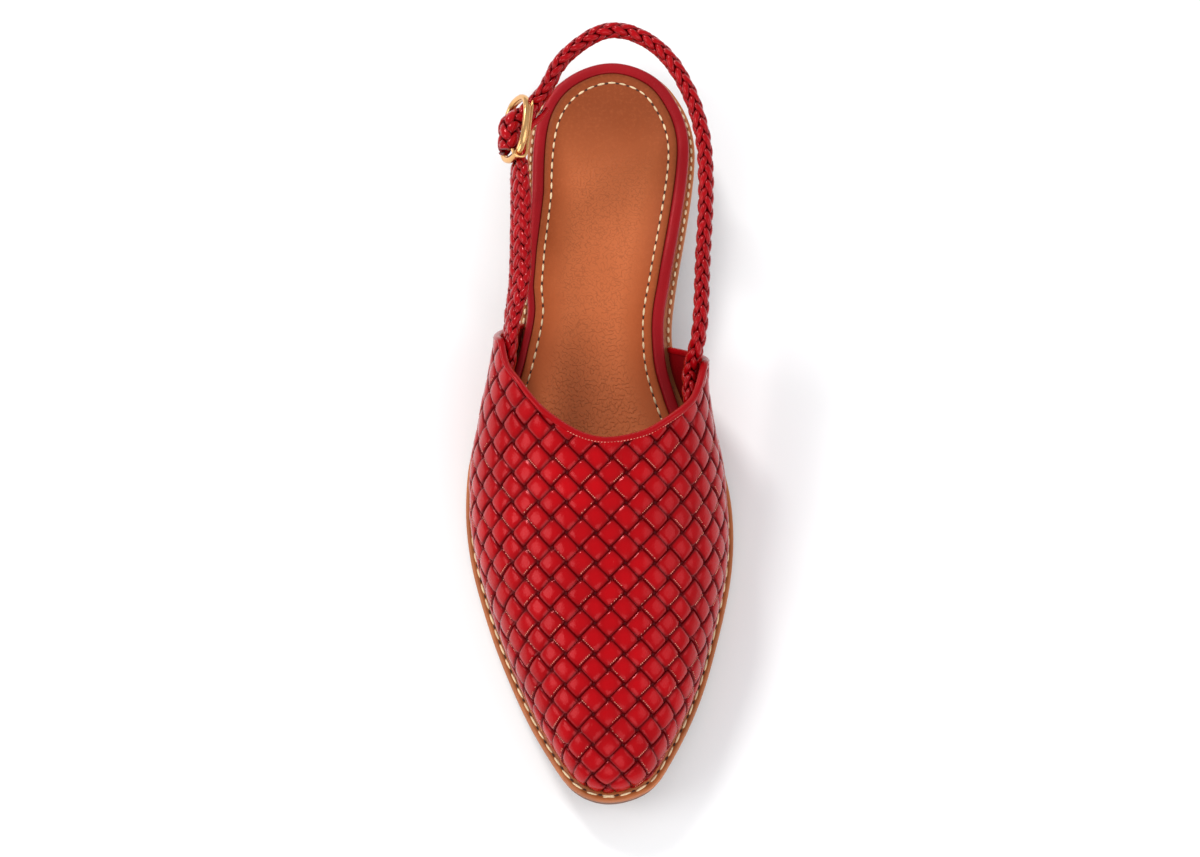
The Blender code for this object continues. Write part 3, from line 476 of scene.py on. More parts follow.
@dataclass(frozen=True)
class GlossLeather(Finish):
    """Smooth dyed leather with fine creases and faint scuffs, and painted shade on the edges that
    the attribute edge marks.
    """

    coat: float = 0.04
    grain: float = 1.0
    edge_dark: float = 1.0
    wear: float = 0.35

    def looks(self, kit: NodeKit, where: Socket) -> Looks:
        """Return the looks, which read the attributes tone and edge; edge carries painted shade."""
        red, green, blue = self.colour
        tone, edge = kit.attribute("tone"), kit.attribute("edge")
        shade = kit.ramp(kit.noise(where, 38, 3), 0.35, 0.65)
        colour = kit.mix(shade, self.tint(0.86), self.tint(1.12))
        colour = kit.mix(kit.ramp(tone, 0, 1, 0.0, 0.30), colour, self.tint(0.72))
        # painted shade: the attribute edge darkens the sides and ends of floats and lobes, where
        # they meet the gaps and dive under their neighbours, and also the lining's outer sheet and
        # the braid cores
        soft = kit.ramp(edge, 0.42, 0.88, 0.0, 0.42 * self.edge_dark)
        colour = kit.mix(soft, colour, self.tint(0.45))
        dark = kit.times(kit.ramp(edge, 0.80, 0.97), self.edge_dark)
        colour = kit.mix(dark, colour, (red * 0.28, green * 0.4, blue * 0.4, 1.0))
        scratches = kit.noise(kit.stretched(where, (900, 120, 400), (0.2, 0.1, 0.7)), 1.0, 4, 0.6)
        rubbed = kit.ramp(kit.noise(where, 60, 2), 0.5, 0.62)
        worn = kit.times(kit.times(kit.ramp(scratches, 0.66, 0.74), rubbed), self.wear)
        pale = (min(1.0, red * 1.25 + 0.04), green + 0.07, blue + 0.06, 1.0)
        rough = self.gloss(kit, kit.noise(where, 110, 4, 0.6), 0.06, 0.10)
        creases = kit.cells(kit.stretched(where, (1, 1, 1), (0.3, 0.2, 0.4)), 1300, "SMOOTH_F1")
        inputs = {
            "Base Color": kit.mix(worn, colour, pale),
            "Roughness": kit.maths("ADD", rough, kit.times(worn, 0.25)),
            "Coat Weight": self.coat,
            "Coat Roughness": 0.12,
            "Specular IOR Level": 0.42,
            "Specular Tint": (1.0, 0.20, 0.22, 1.0),
        }
        return inputs, (
            (kit.noise(where, 240, 3), 0.35 * self.grain, 0.00030),
            (creases, 0.22 * self.grain, 0.00012),
            (kit.cells(where, 3400), 0.12 * self.grain, 0.00004),
            (scratches, 0.18 * self.grain, 0.00006),
        )


@dataclass(frozen=True)
class SockLeather(Finish):
    """Bare insole leather, lighter in the middle, with wrinkles, a dark edge painted as the shade
    below the rim, and painted light on its front.
    """

    centre: Colour = (0.5, 0.2, 0.09)

    def looks(self, kit: NodeKit, where: Socket) -> Looks:
        """Return the looks, which read the attribute edge."""
        edge = kit.attribute("edge")
        patches, fine = kit.noise(where, 30, 4, 0.6), kit.noise(where, 900, 4, 0.6)
        maze, spread = kit.noise(where, 920, 0), kit.noise(where, 150, 2)
        inner = kit.ramp(patches, 0.3, 0.7, -0.12, 0.12)
        inner = kit.maths("ADD", kit.ramp(edge, 0.05, 0.75), inner)
        middle = kit.ramp(edge, 0.46, 0.10, 0.06, 1.0)
        middle = kit.times(middle, kit.ramp(spread, 0.35, 0.55, 0.75, 1.0))
        rims = kit.maths("ABSOLUTE", kit.maths("SUBTRACT", maze, 0.5))
        rims = kit.times(kit.ramp(rims, 0.08, 0.01), middle)
        # painted light: brightens the front, which the upper shades; the colour is darker towards
        # the heel
        back = kit.add("ShaderNodeSeparateXYZ", {0: where}).outputs["Y"]
        painted_light_front_dark_heel = kit.ramp(back, 0.010, 0.110)
        painted_light_front_dark_heel = kit.mix(painted_light_front_dark_heel, (1.38, 1.38, 1.38, 1.0), (0.82, 0.80, 0.76, 1.0))
        colour = kit.mix(kit.ramp(inner, 0, 1), rgba(self.centre), rgba(self.colour))
        # painted shade: a dark line at the edge, where the insole sits below the rim
        colour = kit.mix(kit.ramp(edge, 0.86, 1.0, 0.0, 0.55), colour, self.tint(0.45))
        colour = kit.mix(kit.times(rims, 0.46), colour, rgba(self.centre, 0.52))
        colour = kit.mix(1.0, colour, painted_light_front_dark_heel, "MULTIPLY")
        colour = kit.mix(kit.ramp(fine, 0.5, 0.8, 0.0, 0.22), colour, rgba(self.centre, 1.18))
        rough = self.gloss(kit, patches, 0.08, 0.10)
        return {"Base Color": colour, "Roughness": rough, "Specular IOR Level": 0.16}, (
            (kit.noise(where, 90, 4), 0.14, 0.0004),
            (kit.times(kit.ramp(maze, 0.43, 0.57), middle), 0.9, 0.00012),
            (fine, 0.22, 0.00010),
            (kit.cells(where, 2600), 0.15, 0.00005),
        )


@dataclass(frozen=True)
class EdgeLeather(Finish):
    """Cut and dressed leather edge, with layers that run along the sole."""

    layers: float = 1.0

    def looks(self, kit: NodeKit, where: Socket) -> Looks:
        """Return the looks."""
        lines = kit.noise(kit.stretched(where, (60, 60, 3600)), 1.0, 4, 0.6)
        fibre = kit.noise(kit.stretched(where, (500, 260, 900)), 1.0, 5, 0.7)
        patches = kit.ramp(kit.noise(where, 45, 4), 0.3, 0.7)
        layers = kit.ramp(lines, 0.42, 0.60, 0.0, 0.45 * self.layers)
        colour = kit.mix(patches, self.tint(0.78), self.tint(1.2))
        colour = kit.mix(layers, colour, self.tint(0.45))
        colour = kit.mix(kit.ramp(fibre, 0.60, 0.75, 0.0, 0.25), colour, self.tint(1.6))
        return {"Base Color": colour, "Roughness": self.gloss(kit, fibre, 0.08, 0.12)}, (
            (lines, 0.45 * self.layers, 0.00014),
            (fibre, 0.35, 0.00010),
            (kit.cells(where, 1800), 0.15, 0.00005),
        )


@dataclass(frozen=True)
class Brass(Finish):
    """Pale plated metal with fine rubbing marks."""

    dark: Colour = (0.36, 0.15, 0.035)

    def looks(self, kit: NodeKit, where: Socket) -> Looks:
        """Return the looks."""
        rub = kit.noise(kit.stretched(where, (2500, 300, 700), (0.4, 0.2, 0.0)), 1.0, 5, 0.6)
        patches = kit.noise(where, 260, 3)
        colour = kit.ramp(patches, 0.45, 0.7, 0.0, 0.35)
        colour = kit.mix(colour, rgba(self.colour), rgba(self.dark))
        colour = kit.mix(kit.ramp(rub, 0.6, 0.75, 0.0, 0.2), colour, rgba(self.dark, 1.3))
        inputs = {"Base Color": colour, "Roughness": self.gloss(kit, rub, 0.0, 0.16)}
        return {**inputs, "Metallic": 1.0}, ((rub, 0.12, 0.00004), (patches, 0.15, 0.00010))


@dataclass(frozen=True)
class Thread(Finish):
    """Waxed twisted thread."""

    def looks(self, kit: NodeKit, where: Socket) -> Looks:
        """Return the looks."""
        twist = kit.noise(kit.stretched(where, (2600, 900, 1500), (0, 0, 0.6)), 1.0, 2)
        soil = kit.noise(where, 160, 3)
        colour = kit.mix(kit.ramp(soil, 0.35, 0.65), self.tint(0.80), self.tint(1.08))
        colour = kit.mix(kit.ramp(twist, 0.5, 0.65, 0.0, 0.35), colour, self.tint(0.55))
        rough = self.gloss(kit, soil, 0.0, 0.1)
        return {"Base Color": colour, "Roughness": rough}, ((twist, 0.5, 0.00012),)


@dataclass(frozen=True)
class Ground(Finish):
    """Matt pale floor."""

    def looks(self, kit: NodeKit, where: Socket) -> Looks:
        """Return the looks."""
        soft = kit.ramp(kit.noise(where, 6, 2), 0.3, 0.7)
        colour = kit.mix(soft, self.tint(0.995), self.tint(1.0))
        return {"Base Color": colour, "Roughness": self.roughness}, ()


@dataclass(frozen=True)
class Palette:
    """The finishes of the shoe."""

    strip: GlossLeather = GlossLeather(
        "strip_leather", (0.405, 0.0012, 0.0040), 0.18, edge_dark=0.97
    )
    binding: GlossLeather = GlossLeather(
        "binding_leather", (0.33, 0.0018, 0.0045), 0.24, edge_dark=0.2
    )
    braid: GlossLeather = GlossLeather("braid_leather", (0.38, 0.0016, 0.0045), 0.18, coat=0.14)
    lining: GlossLeather = GlossLeather("lining_leather", (0.20, 0.002, 0.004), 0.5, 0.0, grain=1.4)
    rim: GlossLeather = GlossLeather(
        "rim_leather_dressed", (0.28, 0.007, 0.011), 0.36, 0.0, edge_dark=0.3
    )
    sock: SockLeather = SockLeather(
        "insole_leather_dressed", (0.32, 0.066, 0.016), 0.55, (0.52, 0.135, 0.044)
    )
    welt: EdgeLeather = EdgeLeather("welt_leather_dressed", (0.46, 0.135, 0.036), 0.50, layers=0.5)
    sole: EdgeLeather = EdgeLeather("sole_edge_dressed", (0.19, 0.060, 0.020), 0.42)
    heel: EdgeLeather = EdgeLeather("heel_stack_dressed", (0.16, 0.052, 0.018), 0.42)
    brass: Brass = Brass("buckle_brass", (0.79, 0.44, 0.18), 0.13)
    cream: Thread = Thread("cream_thread", (0.86, 0.66, 0.40), 0.5)
    # dark blobs between stitches, painted as the shade inside needle holes
    hole: Thread = Thread("needle_hole_shade", (0.060, 0.018, 0.008), 0.8)
    pink: Thread = Thread("pink_thread", (0.78, 0.26, 0.18), 0.50)
    ground: Ground = Ground("pale_floor", (0.955, 0.955, 0.96), 0.75)


# ---------------------------------------------------------------- geometry trees


class GeometryTree:
    """A geometry tree with named inputs."""

    def __init__(self, name: str, inputs: dict[str, str]) -> None:
        """Make the empty tree.

        Args:
            name: name of the tree.
            inputs: kind of each named input beside the geometry and the material.
        """
        self.tree = bpy.data.node_groups.new(name, "GeometryNodeTree")
        self.kit = NodeKit(self.tree)
        sockets = self.tree.interface
        for key, kind in {"Geometry": "Geometry", **inputs, "Material": "Material"}.items():
            sockets.new_socket(key, in_out="INPUT", socket_type="NodeSocket" + kind)
        sockets.new_socket("Geometry", in_out="OUTPUT", socket_type="NodeSocketGeometry")
        self.given = self.kit.add("NodeGroupInput").outputs

    def attribute(self, name: str, kind: str = "FLOAT_VECTOR") -> Socket:
        """Return a named attribute of the points."""
        return self.kit.add("GeometryNodeInputNamedAttribute", {0: name}, data_type=kind).outputs[0]

    def on_points(self, points: Socket, shape: Socket, turn: Socket, scale: Socket) -> Socket:
        """Return a shape set on every point."""
        inputs = {"Points": points, "Instance": shape, "Rotation": turn, "Scale": scale}
        return self.kit.add("GeometryNodeInstanceOnPoints", inputs).outputs[0]

    def finish(self, shape: Socket) -> None:
        """End the tree with real geometry and its material."""
        real = self.kit.add("GeometryNodeRealizeInstances", {0: shape}).outputs[0]
        inputs = {"Geometry": real, "Material": self.given["Material"]}
        dressed = self.kit.add("GeometryNodeSetMaterial", inputs).outputs[0]
        self.kit.add("NodeGroupOutput", {0: dressed})

    def run(self, carrier: Object, values: dict[str, object]) -> bpy.types.Mesh:
        """Run the tree on an object and keep the result as a plain mesh.

        Args:
            carrier: the object that carries the points; it is removed.
            values: a value for each named input.

        Returns:
            The plain mesh.
        """
        modifier = carrier.modifiers.new("tree", "NODES")
        modifier.node_group = self.tree
        for item in self.tree.interface.items_tree:
            if item.in_out == "INPUT" and item.name in values:
                modifier[item.identifier] = values[item.name]
        graph = bpy.context.evaluated_depsgraph_get()
        mesh = bpy.data.meshes.new_from_object(carrier.evaluated_get(graph))
        carrier.modifiers.clear()
        bpy.data.objects.remove(carrier, do_unlink=True)
        return mesh


def carrier_of(points: Array, edges: Sequence = (), **attributes: Array) -> Object:
    """Make an object of bare points that carries attributes for a tree."""
    mesh = bpy.data.meshes.new("carrier")
    mesh.from_pydata([tuple(map(float, point)) for point in points], list(edges), [])
    for name, values in attributes.items():
        set_attribute(mesh, name, values)
    return linked("carrier", mesh)


class StrandTree(GeometryTree):
    """Sweeps a flat oval section along strands, its thin way along the attribute radial."""

    def __init__(self) -> None:
        """Build the tree."""
        inputs = {"Half Thickness": "Float", "Half Width": "Float", "Sides": "Int"}
        super().__init__("strands", inputs)
        kit, given = self.kit, self.given
        curve = kit.add("GeometryNodeMeshToCurve", {0: given["Geometry"]}).outputs[0]
        inputs = {"Curve": curve, "Normal": self.attribute("radial")}
        turned = kit.add("GeometryNodeSetCurveNormal", inputs, mode="FREE").outputs[0]
        inputs = {"Resolution": given["Sides"], "Radius": 1.0}
        circle = kit.add("GeometryNodeCurvePrimitiveCircle", inputs).outputs[0]
        scale = kit.xyz(given["Half Thickness"], given["Half Width"], 1.0)
        oval = kit.add("GeometryNodeTransform", {"Geometry": circle, "Scale": scale}).outputs[0]
        inputs = {"Curve": turned, "Profile Curve": oval, "Fill Caps": True}
        self.finish(kit.add("GeometryNodeCurveToMesh", inputs).outputs[0])


@dataclass(frozen=True)
class Stitch:
    """Size and unevenness of the stitches of a row."""

    length: float
    width: float
    height: float
    slant: float
    jitter: float
    seed: int


class StitchTree(GeometryTree):
    """Sets one stitch on every point, its length along tangent and its top along normal."""

    def __init__(self) -> None:
        """Build the tree."""
        kinds = dict.fromkeys(("Length", "Width", "Height", "Slant", "Jitter"), "Float")
        super().__init__("stitches", {**kinds, "Seed": "Int"})
        kit, given = self.kit, self.given
        inputs = {"Segments": 8, "Rings": 6, "Radius": 0.5}
        ball = kit.add("GeometryNodeMeshUVSphere", inputs).outputs[0]
        inputs = {"Geometry": ball, "Shade Smooth": True}
        smooth = kit.add("GeometryNodeSetShadeSmooth", inputs).outputs[0]
        inputs = {"Min": (-1.0, -1.0, -1.0), "Max": (1.0, 1.0, 1.0), "Seed": given["Seed"]}
        chance = kit.add("FunctionNodeRandomValue", inputs, data_type="FLOAT_VECTOR").outputs[0]
        uneven = kit.vector("ADD", kit.vector("SCALE", chance, given["Jitter"], 3), (1, 1, 1))
        scale = kit.xyz(given["Length"], given["Width"], given["Height"])
        scale = kit.vector("MULTIPLY", scale, uneven)
        axes = {"primary_axis": "X", "secondary_axis": "Z"}
        inputs = {
            "Primary Axis": self.attribute("tangent"), "Secondary Axis": self.attribute("normal"),
        }
        turn = kit.add("FunctionNodeAxesToRotation", inputs, **axes).outputs[0]
        inputs = {"Rotation": turn, "Rotate By": kit.xyz(z=given["Slant"])}
        turn = kit.add("FunctionNodeRotateRotation", inputs, rotation_space="LOCAL").outputs[0]
        self.finish(self.on_points(given["Geometry"], smooth, turn, scale))

    def sew(
        self, name: str, rows: Sequence[Array], stitch: Stitch, finish: Thread, slot: Slot
    ) -> None:
        """Sew one piece of stitches.

        Args:
            name: name of the piece.
            rows: the stitches' points, tangents and normals.
            stitch: their size.
            finish: their thread.
            slot: handed to place, which does not use it.
        """
        points, tangents, normals = rows
        values = {key.title(): value for key, value in vars(stitch).items()}
        material = finish.make()
        carrier = carrier_of(points, tangent=tangents, normal=normals)
        mesh = self.run(carrier, {**values, "Material": material})
        place(linked(name, mesh), material, slot)


@dataclass(frozen=True)
class StripFloat:
    """One float of a strip, which rises in its middle and dives under its neighbours."""

    width: float
    thickness: float
    taper: float
    # distance from the middle and height of the middle line, in millimetres
    rise: Pairs
    # share of the half length at which the float's painted shade is full, where it dives under
    dark_from: float = 0.86
    # power that rounds the corners of the painted shade border
    dark_corner: float = 5.0
    # shares of half the width and of the thickness
    section: Pairs = (
        (-1.0, -0.50), (-0.95, 0.00), (-0.66, 0.26), (0.0, 0.36), (0.66, 0.26), (0.95, 0.00),
        (1.0, -0.50), (0.0, -0.65),
    )

    def make(self) -> Object:
        """Make the flat-laid float that a tree repeats."""
        rise = np.array(self.rise) * MM
        along = np.concatenate([-rise[:0:-1, 0], rise[:, 0]])
        height = np.concatenate([rise[:0:-1, 1], rise[:, 1]])
        section = np.array(self.section) * [self.width / 2, self.thickness]
        narrowed = 1 - self.taper * np.abs(along / along[-1]) ** 3
        rings = np.zeros((len(along), len(section), 3))
        rings[:, :, 0] = along[:, None]
        rings[:, :, 1] = section[:, 0] * narrowed[:, None]
        rings[:, :, 2] = section[:, 1] + height[:, None]
        points, faces = tube(rings)
        thing = new_object("strip_float", points, faces, 60.0)
        # the attribute edge paints shade towards the float's sides and ends, at the gaps and where
        # it dives under its neighbours
        spots = np.abs(points[:, :2]) / [along[-1] * self.dark_from, self.width / 2]
        dark = np.linalg.norm(spots, self.dark_corner, axis=1)
        set_attribute(thing.data, "edge", np.clip(dark, 0, 1))
        return thing


@dataclass(frozen=True)
class Spread:
    """Unevenness of laid floats: turn in radians, lift in metres, share of the size, and seed."""

    turn: float
    lift: float
    size: float
    seed: int


class FloatTree(GeometryTree):
    """Lays one float of a strip on every crossing of the flat weave."""

    def __init__(self) -> None:
        """Build the tree."""
        kinds = dict.fromkeys(("Turn Spread", "Lift Spread", "Size Spread"), "Float")
        super().__init__("weave", {"Float": "Object", **kinds, "Seed": "Int"})
        kit, given = self.kit, self.given
        shape = kit.add("GeometryNodeObjectInfo", {"Object": given["Float"]}).outputs["Geometry"]
        turn, size, lift = (
            kit.times(self.random(-1.0, shift), given[name + " Spread"])
            for shift, name in enumerate(("Turn", "Size", "Lift"))
        )
        rotation = kit.xyz(z=kit.maths("ADD", self.attribute("turn", "FLOAT"), turn))
        scale = kit.xyz(1.0, kit.maths("ADD", 1.0, size), 1.0)
        inputs = {"Geometry": given["Geometry"], "Offset": kit.xyz(z=lift)}
        moved = kit.add("GeometryNodeSetPosition", inputs).outputs[0]
        laid = self.on_points(moved, shape, rotation, scale)
        inputs = {"Geometry": laid, "Name": "tone", "Value": self.random(0.0, 3)}
        kinds = {"data_type": "FLOAT", "domain": "INSTANCE"}
        self.finish(kit.add("GeometryNodeStoreNamedAttribute", inputs, **kinds).outputs[0])

    def random(self, low: float, shift: float) -> Socket:
        """Return a random number between low and one, its seed shifted."""
        inputs = {2: low, 3: 1.0, "Seed": self.kit.maths("ADD", self.given["Seed"], float(shift))}
        return self.kit.add("FunctionNodeRandomValue", inputs, data_type="FLOAT").outputs[1]

    def lay(
        self, strip: StripFloat, spots: Array, turns: Array, spread: Spread, material: Material
    ) -> bpy.types.Mesh:
        """Lay a float on every spot.

        Args:
            strip: the float.
            spots: middles of the floats on the flat chart.
            turns: turn of each float in radians.
            spread: their unevenness.
            material: their material.

        Returns:
            The flat mesh of all floats.
        """
        shape = strip.make()
        carrier = carrier_of(spots, turn=np.asarray(turns))
        mesh = self.run(carrier, {
            "Float": shape, "Turn Spread": spread.turn, "Lift Spread": spread.lift,
            "Size Spread": spread.size, "Seed": spread.seed, "Material": material,
        })
        bpy.data.objects.remove(shape, do_unlink=True)
        return mesh


# ---------------------------------------------------------------- forms of the shoe


@dataclass
class SolePlan:
    """Outline of the sole, its tread line and the setbacks of the layers."""

    length: float = 0.258
    width: float = 0.0885
    heel_height: float = 0.012
    toe_spring: float = 0.009
    rows: int = 150
    samples: int = 1600
    heel_point: float = 0.045
    toe_point: float = 0.027
    ball_back: float = -0.0465
    ball_front: float = -0.24
    arch_start: float = 0.232
    # share of the length from the heel, lateral and medial share of the width
    outline: Triples = (
        (0.020, 0.130, 0.218), (0.050, 0.215, 0.295), (0.082, 0.256, 0.339), (0.120, 0.274, 0.360),
        (0.160, 0.279, 0.356), (0.200, 0.280, 0.342), (0.250, 0.282, 0.319), (0.300, 0.286, 0.294),
        (0.340, 0.294, 0.277), (0.376, 0.311, 0.270), (0.422, 0.354, 0.290), (0.465, 0.410, 0.345),
        (0.500, 0.455, 0.401), (0.535, 0.487, 0.450), (0.580, 0.500, 0.484), (0.628, 0.498, 0.497),
        (0.682, 0.475, 0.491), (0.736, 0.434, 0.465), (0.790, 0.384, 0.428), (0.845, 0.322, 0.384),
        (0.901, 0.249, 0.322), (0.955, 0.161, 0.244), (0.984, 0.095, 0.177),
    )
    # share of the length, setback of the upper's foot and of the footbed on its medial and lateral
    # side as shares of the width, and the lateral rim's share of its full width
    setbacks: tuple[tuple[float, float, float, float, float], ...] = (
        (0.000, 0.0045, 0.0180, 0.0180, 1.00), (0.060, 0.0045, 0.0225, 0.0225, 1.00),
        (0.190, 0.0045, 0.0240, 0.0225, 1.00), (0.270, 0.0045, 0.0245, 0.0120, 0.72),
        (0.318, 0.0045, 0.0250, 0.0110, 0.62), (0.350, 0.0045, 0.0300, 0.0270, 0.62),
        (0.390, 0.0045, 0.0320, 0.0290, 0.62), (0.440, 0.0090, 0.0430, 0.0390, 0.72),
        (0.500, 0.0203, 0.0710, 0.0670, 1.00), (0.580, 0.0362, 0.0900, 0.0880, 1.00),
        (0.700, 0.0407, 0.0904, 0.0904, 1.00), (1.000, 0.0407, 0.0791, 0.0791, 1.00),
    )

    def __post_init__(self) -> None:
        """Draw the outline and choose the cross rows."""
        table = np.array(self.outline)
        y = self.y_at(table[:, 0])
        medial = np.c_[table[:, 2] * self.width, y]
        lateral = np.c_[-table[:, 1] * self.width, y]
        heel = [(self.heel_point * self.width, self.length / 2)]
        toe = [(self.toe_point * self.width, -self.length / 2)]
        points = np.vstack([heel, medial, toe, lateral[::-1]])
        wrapped = np.vstack([points[-4:], points, points[:5]])
        knots = np.concatenate([[0], np.cumsum(np.sqrt(np.hypot(*np.diff(wrapped, axis=0).T)))])
        at = np.linspace(knots[4], knots[-5], self.samples, endpoint=False)
        curve = spline(knots, wrapped)(at)
        tangent = unit(np.roll(curve, -1, 0) - np.roll(curve, 1, 0))
        top = int(np.argmax(curve[:, 1]))
        self.curve = np.roll(curve, -top, 0)
        self.inward = np.roll(np.c_[tangent[:, 1], -tangent[:, 0]], -top, 0)
        self.toe = int(np.argmin(self.curve[:, 1]))
        steps = np.arange(self.rows + 2) / (self.rows + 1)
        eased = 0.35 * steps + 0.325 * (1 - np.cos(math.pi * steps))
        medial_at = eased * self.toe
        lateral_at = self.toe + eased[1:-1] * (self.samples - self.toe)
        self.stations = np.concatenate([medial_at, lateral_at])

    def y_at(self, along: Array | float) -> Array:
        """Return y at a share of the length from the heel."""
        return self.length * (0.5 - np.asarray(along))

    def share_along(self, y: Array) -> Array:
        """Return the share of the length from the heel at y."""
        return 0.5 - np.asarray(y) / self.length

    def tread(self, y: Array) -> Array:
        """Return the height of the sole's underside."""
        shares = (self.ball_back, self.ball_front, self.arch_start)
        back, front, start = (share * self.length for share in shares)
        toe = np.clip((front - np.asarray(y)) / (self.length / 2 + front), 0, None)
        return self.heel_height * ease((y - back) / (start - back)) + self.toe_spring * toe ** 1.8

    def tabled(self, column: int, lateral: int) -> Array:
        """Return a column of the setbacks along the outline, another one on the lateral side."""
        along = self.share_along(self.curve[:, 1])
        sides = [looked_up(self.setbacks, along, number) for number in (column, lateral)]
        return np.where(np.arange(self.samples) <= self.toe, *sides)

    def footbed_edge(self) -> Array:
        """Return the footbed's setback along the outline."""
        return self.tabled(2, 3) * self.width

    def rim_share(self) -> Array:
        """Return the share of the rim's full width along the outline."""
        share = self.tabled(4, 4)
        share[:self.toe + 1] = 1.0
        return share

    def loop(self, inset: Array | float) -> Array:
        """Return the fine outline moved inwards."""
        return self.curve + self.inward * np.broadcast_to(inset, self.samples)[:, None]

    def ring(self, inset: Array | float, height: float) -> Array:
        """Return the cross rows' loop at a height above the tread."""
        fine = np.vstack([self.loop(inset), self.loop(inset)[:1]])
        at = np.arange(self.samples + 1)
        flat = np.column_stack([np.interp(self.stations, at, fine[:, i]) for i in range(2)])
        return np.c_[flat, self.tread(flat[:, 1]) + height]


@dataclass
class Skin:
    """Outer surface of the upper, and its flat chart of distance from the toe and of girth."""

    plan: SolePlan
    foot: float = 0.0078
    instep: float = 0.0482
    throat: float = 0.496
    rows: int = 141
    half: int = 61
    # share of the length at the foot, lean, ridge, bulge of both sides, widest height
    sections: tuple[tuple[float, ...], ...] = (
        (0.260, 28.0, 0.042, 0.090, 0.140, 0.52), (0.362, 28.0, 0.042, 0.086, 0.136, 0.50),
        (0.392, 28.0, 0.042, 0.078, 0.128, 0.50), (0.446, 26.5, 0.042, 0.054, 0.095, 0.46),
        (0.496, 22.0, 0.042, 0.022, 0.050, 0.38), (0.578, 20.9, 0.041, 0.012, 0.013, 0.27),
        (0.663, 19.0, 0.039, 0.008, 0.010, 0.24), (0.752, 16.5, 0.036, 0.006, 0.010, 0.22),
        (0.841, 14.7, 0.032, 0.005, 0.008, 0.20), (0.911, 11.6, 0.029, 0.004, 0.006, 0.20),
        (1.000, 8.0, 0.026, 0.002, 0.002, 0.20),
    )

    def __post_init__(self) -> None:
        """Draw the surface as a grid of points with normals."""
        plan = self.plan
        feather = plan.loop(plan.tabled(1, 1) * plan.width)
        toe = int(np.argmin(feather[:, 1]))
        sides = {0: feather[toe:], 1: feather[:toe + 1][::-1]}
        tip = feather[toe, 1]
        table = np.array(self.sections)
        back = plan.y_at(table[0, 0])
        self.foot_y = tip + (back - tip) * np.linspace(0, 1, self.rows) ** 2
        along = plan.share_along(self.foot_y)
        columns = (spline(table[:, 0], column)(along) for column in table.T[1:])
        lean, ridge, *bulges, widest = columns
        lean = np.radians(lean)
        height = self.instep * np.sqrt((self.foot_y - tip) / (plan.y_at(self.throat) - tip))
        ridge_x = ridge * plan.width
        foot_z = plan.tread(self.foot_y) + self.foot
        self.points = np.zeros((self.rows, 2 * self.half - 1, 3))
        self.girth = np.zeros((self.rows, 2))
        for side in (0, 1):
            edge = np.interp(self.foot_y, sides[side][:, 1], sides[side][:, 0])
            foot = np.abs(edge - ridge_x)
            wide = foot + bulges[side] * plan.width
            for i in range(self.rows):
                across, up = self.half_section(foot[i], wide[i], height[i], widest[i] * height[i])
                arc = np.cumsum(np.hypot(np.diff(across), np.diff(up / math.cos(lean[i]))))
                arc = np.concatenate([[0], arc])
                self.girth[i, side] = arc[-1]
                even = np.linspace(0, arc[-1], self.half)
                across, up = np.interp(even, arc, across), np.interp(even, arc, up)
                leaned = self.foot_y[i] - up * math.tan(lean[i])
                line = np.c_[ridge_x[i] + (2 * side - 1) * across, leaned, foot_z[i] + up]
                if side:
                    self.points[i, self.half - 1:] = line
                else:
                    self.points[i, :self.half] = line[::-1]
        self.arc = arc_along(self.points[:, self.half - 1])
        down, over = np.gradient(self.points, axis=0), np.gradient(self.points, axis=1)
        down[0], over[0] = down[1], over[1]
        self.normals = unit(np.cross(over, down))

    @staticmethod
    def half_section(foot: float, wide: float, height: float, widest: float) -> tuple[Array, Array]:
        """Return a half section from the ridge to the sole, as distances across and up."""
        turn = np.linspace(math.pi / 2, 0, 120)
        drop = np.linspace(1, 0, 41)[1:]
        lower = foot + (wide - foot) * np.sin(math.pi / 2 * drop)
        across = np.concatenate([wide * np.cos(turn), lower])
        return across, np.concatenate([widest + (height - widest) * np.sin(turn), widest * drop])

    def ridge_at(self, along: Array | float) -> Array:
        """Return the distance along the ridge of the section at a share of the length."""
        return np.interp(self.plan.y_at(along), self.foot_y, self.arc)

    def girth_at(self, ridge: Array, side: Array | float) -> Array:
        """Return the half girth at a distance along the ridge."""
        lateral = np.interp(ridge, self.arc, self.girth[:, 0])
        return np.where(np.asarray(side) > 0, np.interp(ridge, self.arc, self.girth[:, 1]), lateral)

    def sample(self, chart: Array, grids: Sequence[Array]) -> list[Array]:
        """Read grids at chart points."""
        station = np.interp(chart[:, 0], self.arc, np.arange(self.rows))
        row = np.clip(station.astype(int), 0, self.rows - 2)
        girth = np.maximum(self.girth_at(chart[:, 0], chart[:, 1]), 1e-9)
        at = (np.clip(chart[:, 1] / girth, -1, 1) + 1) * (self.half - 1)
        col = np.clip(at.astype(int), 0, 2 * self.half - 3)
        down, over = (station - row)[:, None], (at - col)[:, None]
        found = []
        for grid in grids:
            near = grid[row, col] * (1 - over) + grid[row, col + 1] * over
            far = grid[row + 1, col] * (1 - over) + grid[row + 1, col + 1] * over
            found.append(near * (1 - down) + far * down)
        return found

    def frame(self, chart: Array) -> tuple[Array, Array]:
        """Return the points and normals at chart points."""
        points, normals = self.sample(np.atleast_2d(chart), (self.points, self.normals))
        return points, unit(normals)

    def lifted(self, chart: Array, lift: Array | float) -> Array:
        """Return chart points on the surface, lifted along its normal."""
        points, normals = self.frame(chart)
        return points + normals * np.broadcast_to(lift, len(points))[:, None]


# ---------------------------------------------------------------- sole, welt and heel


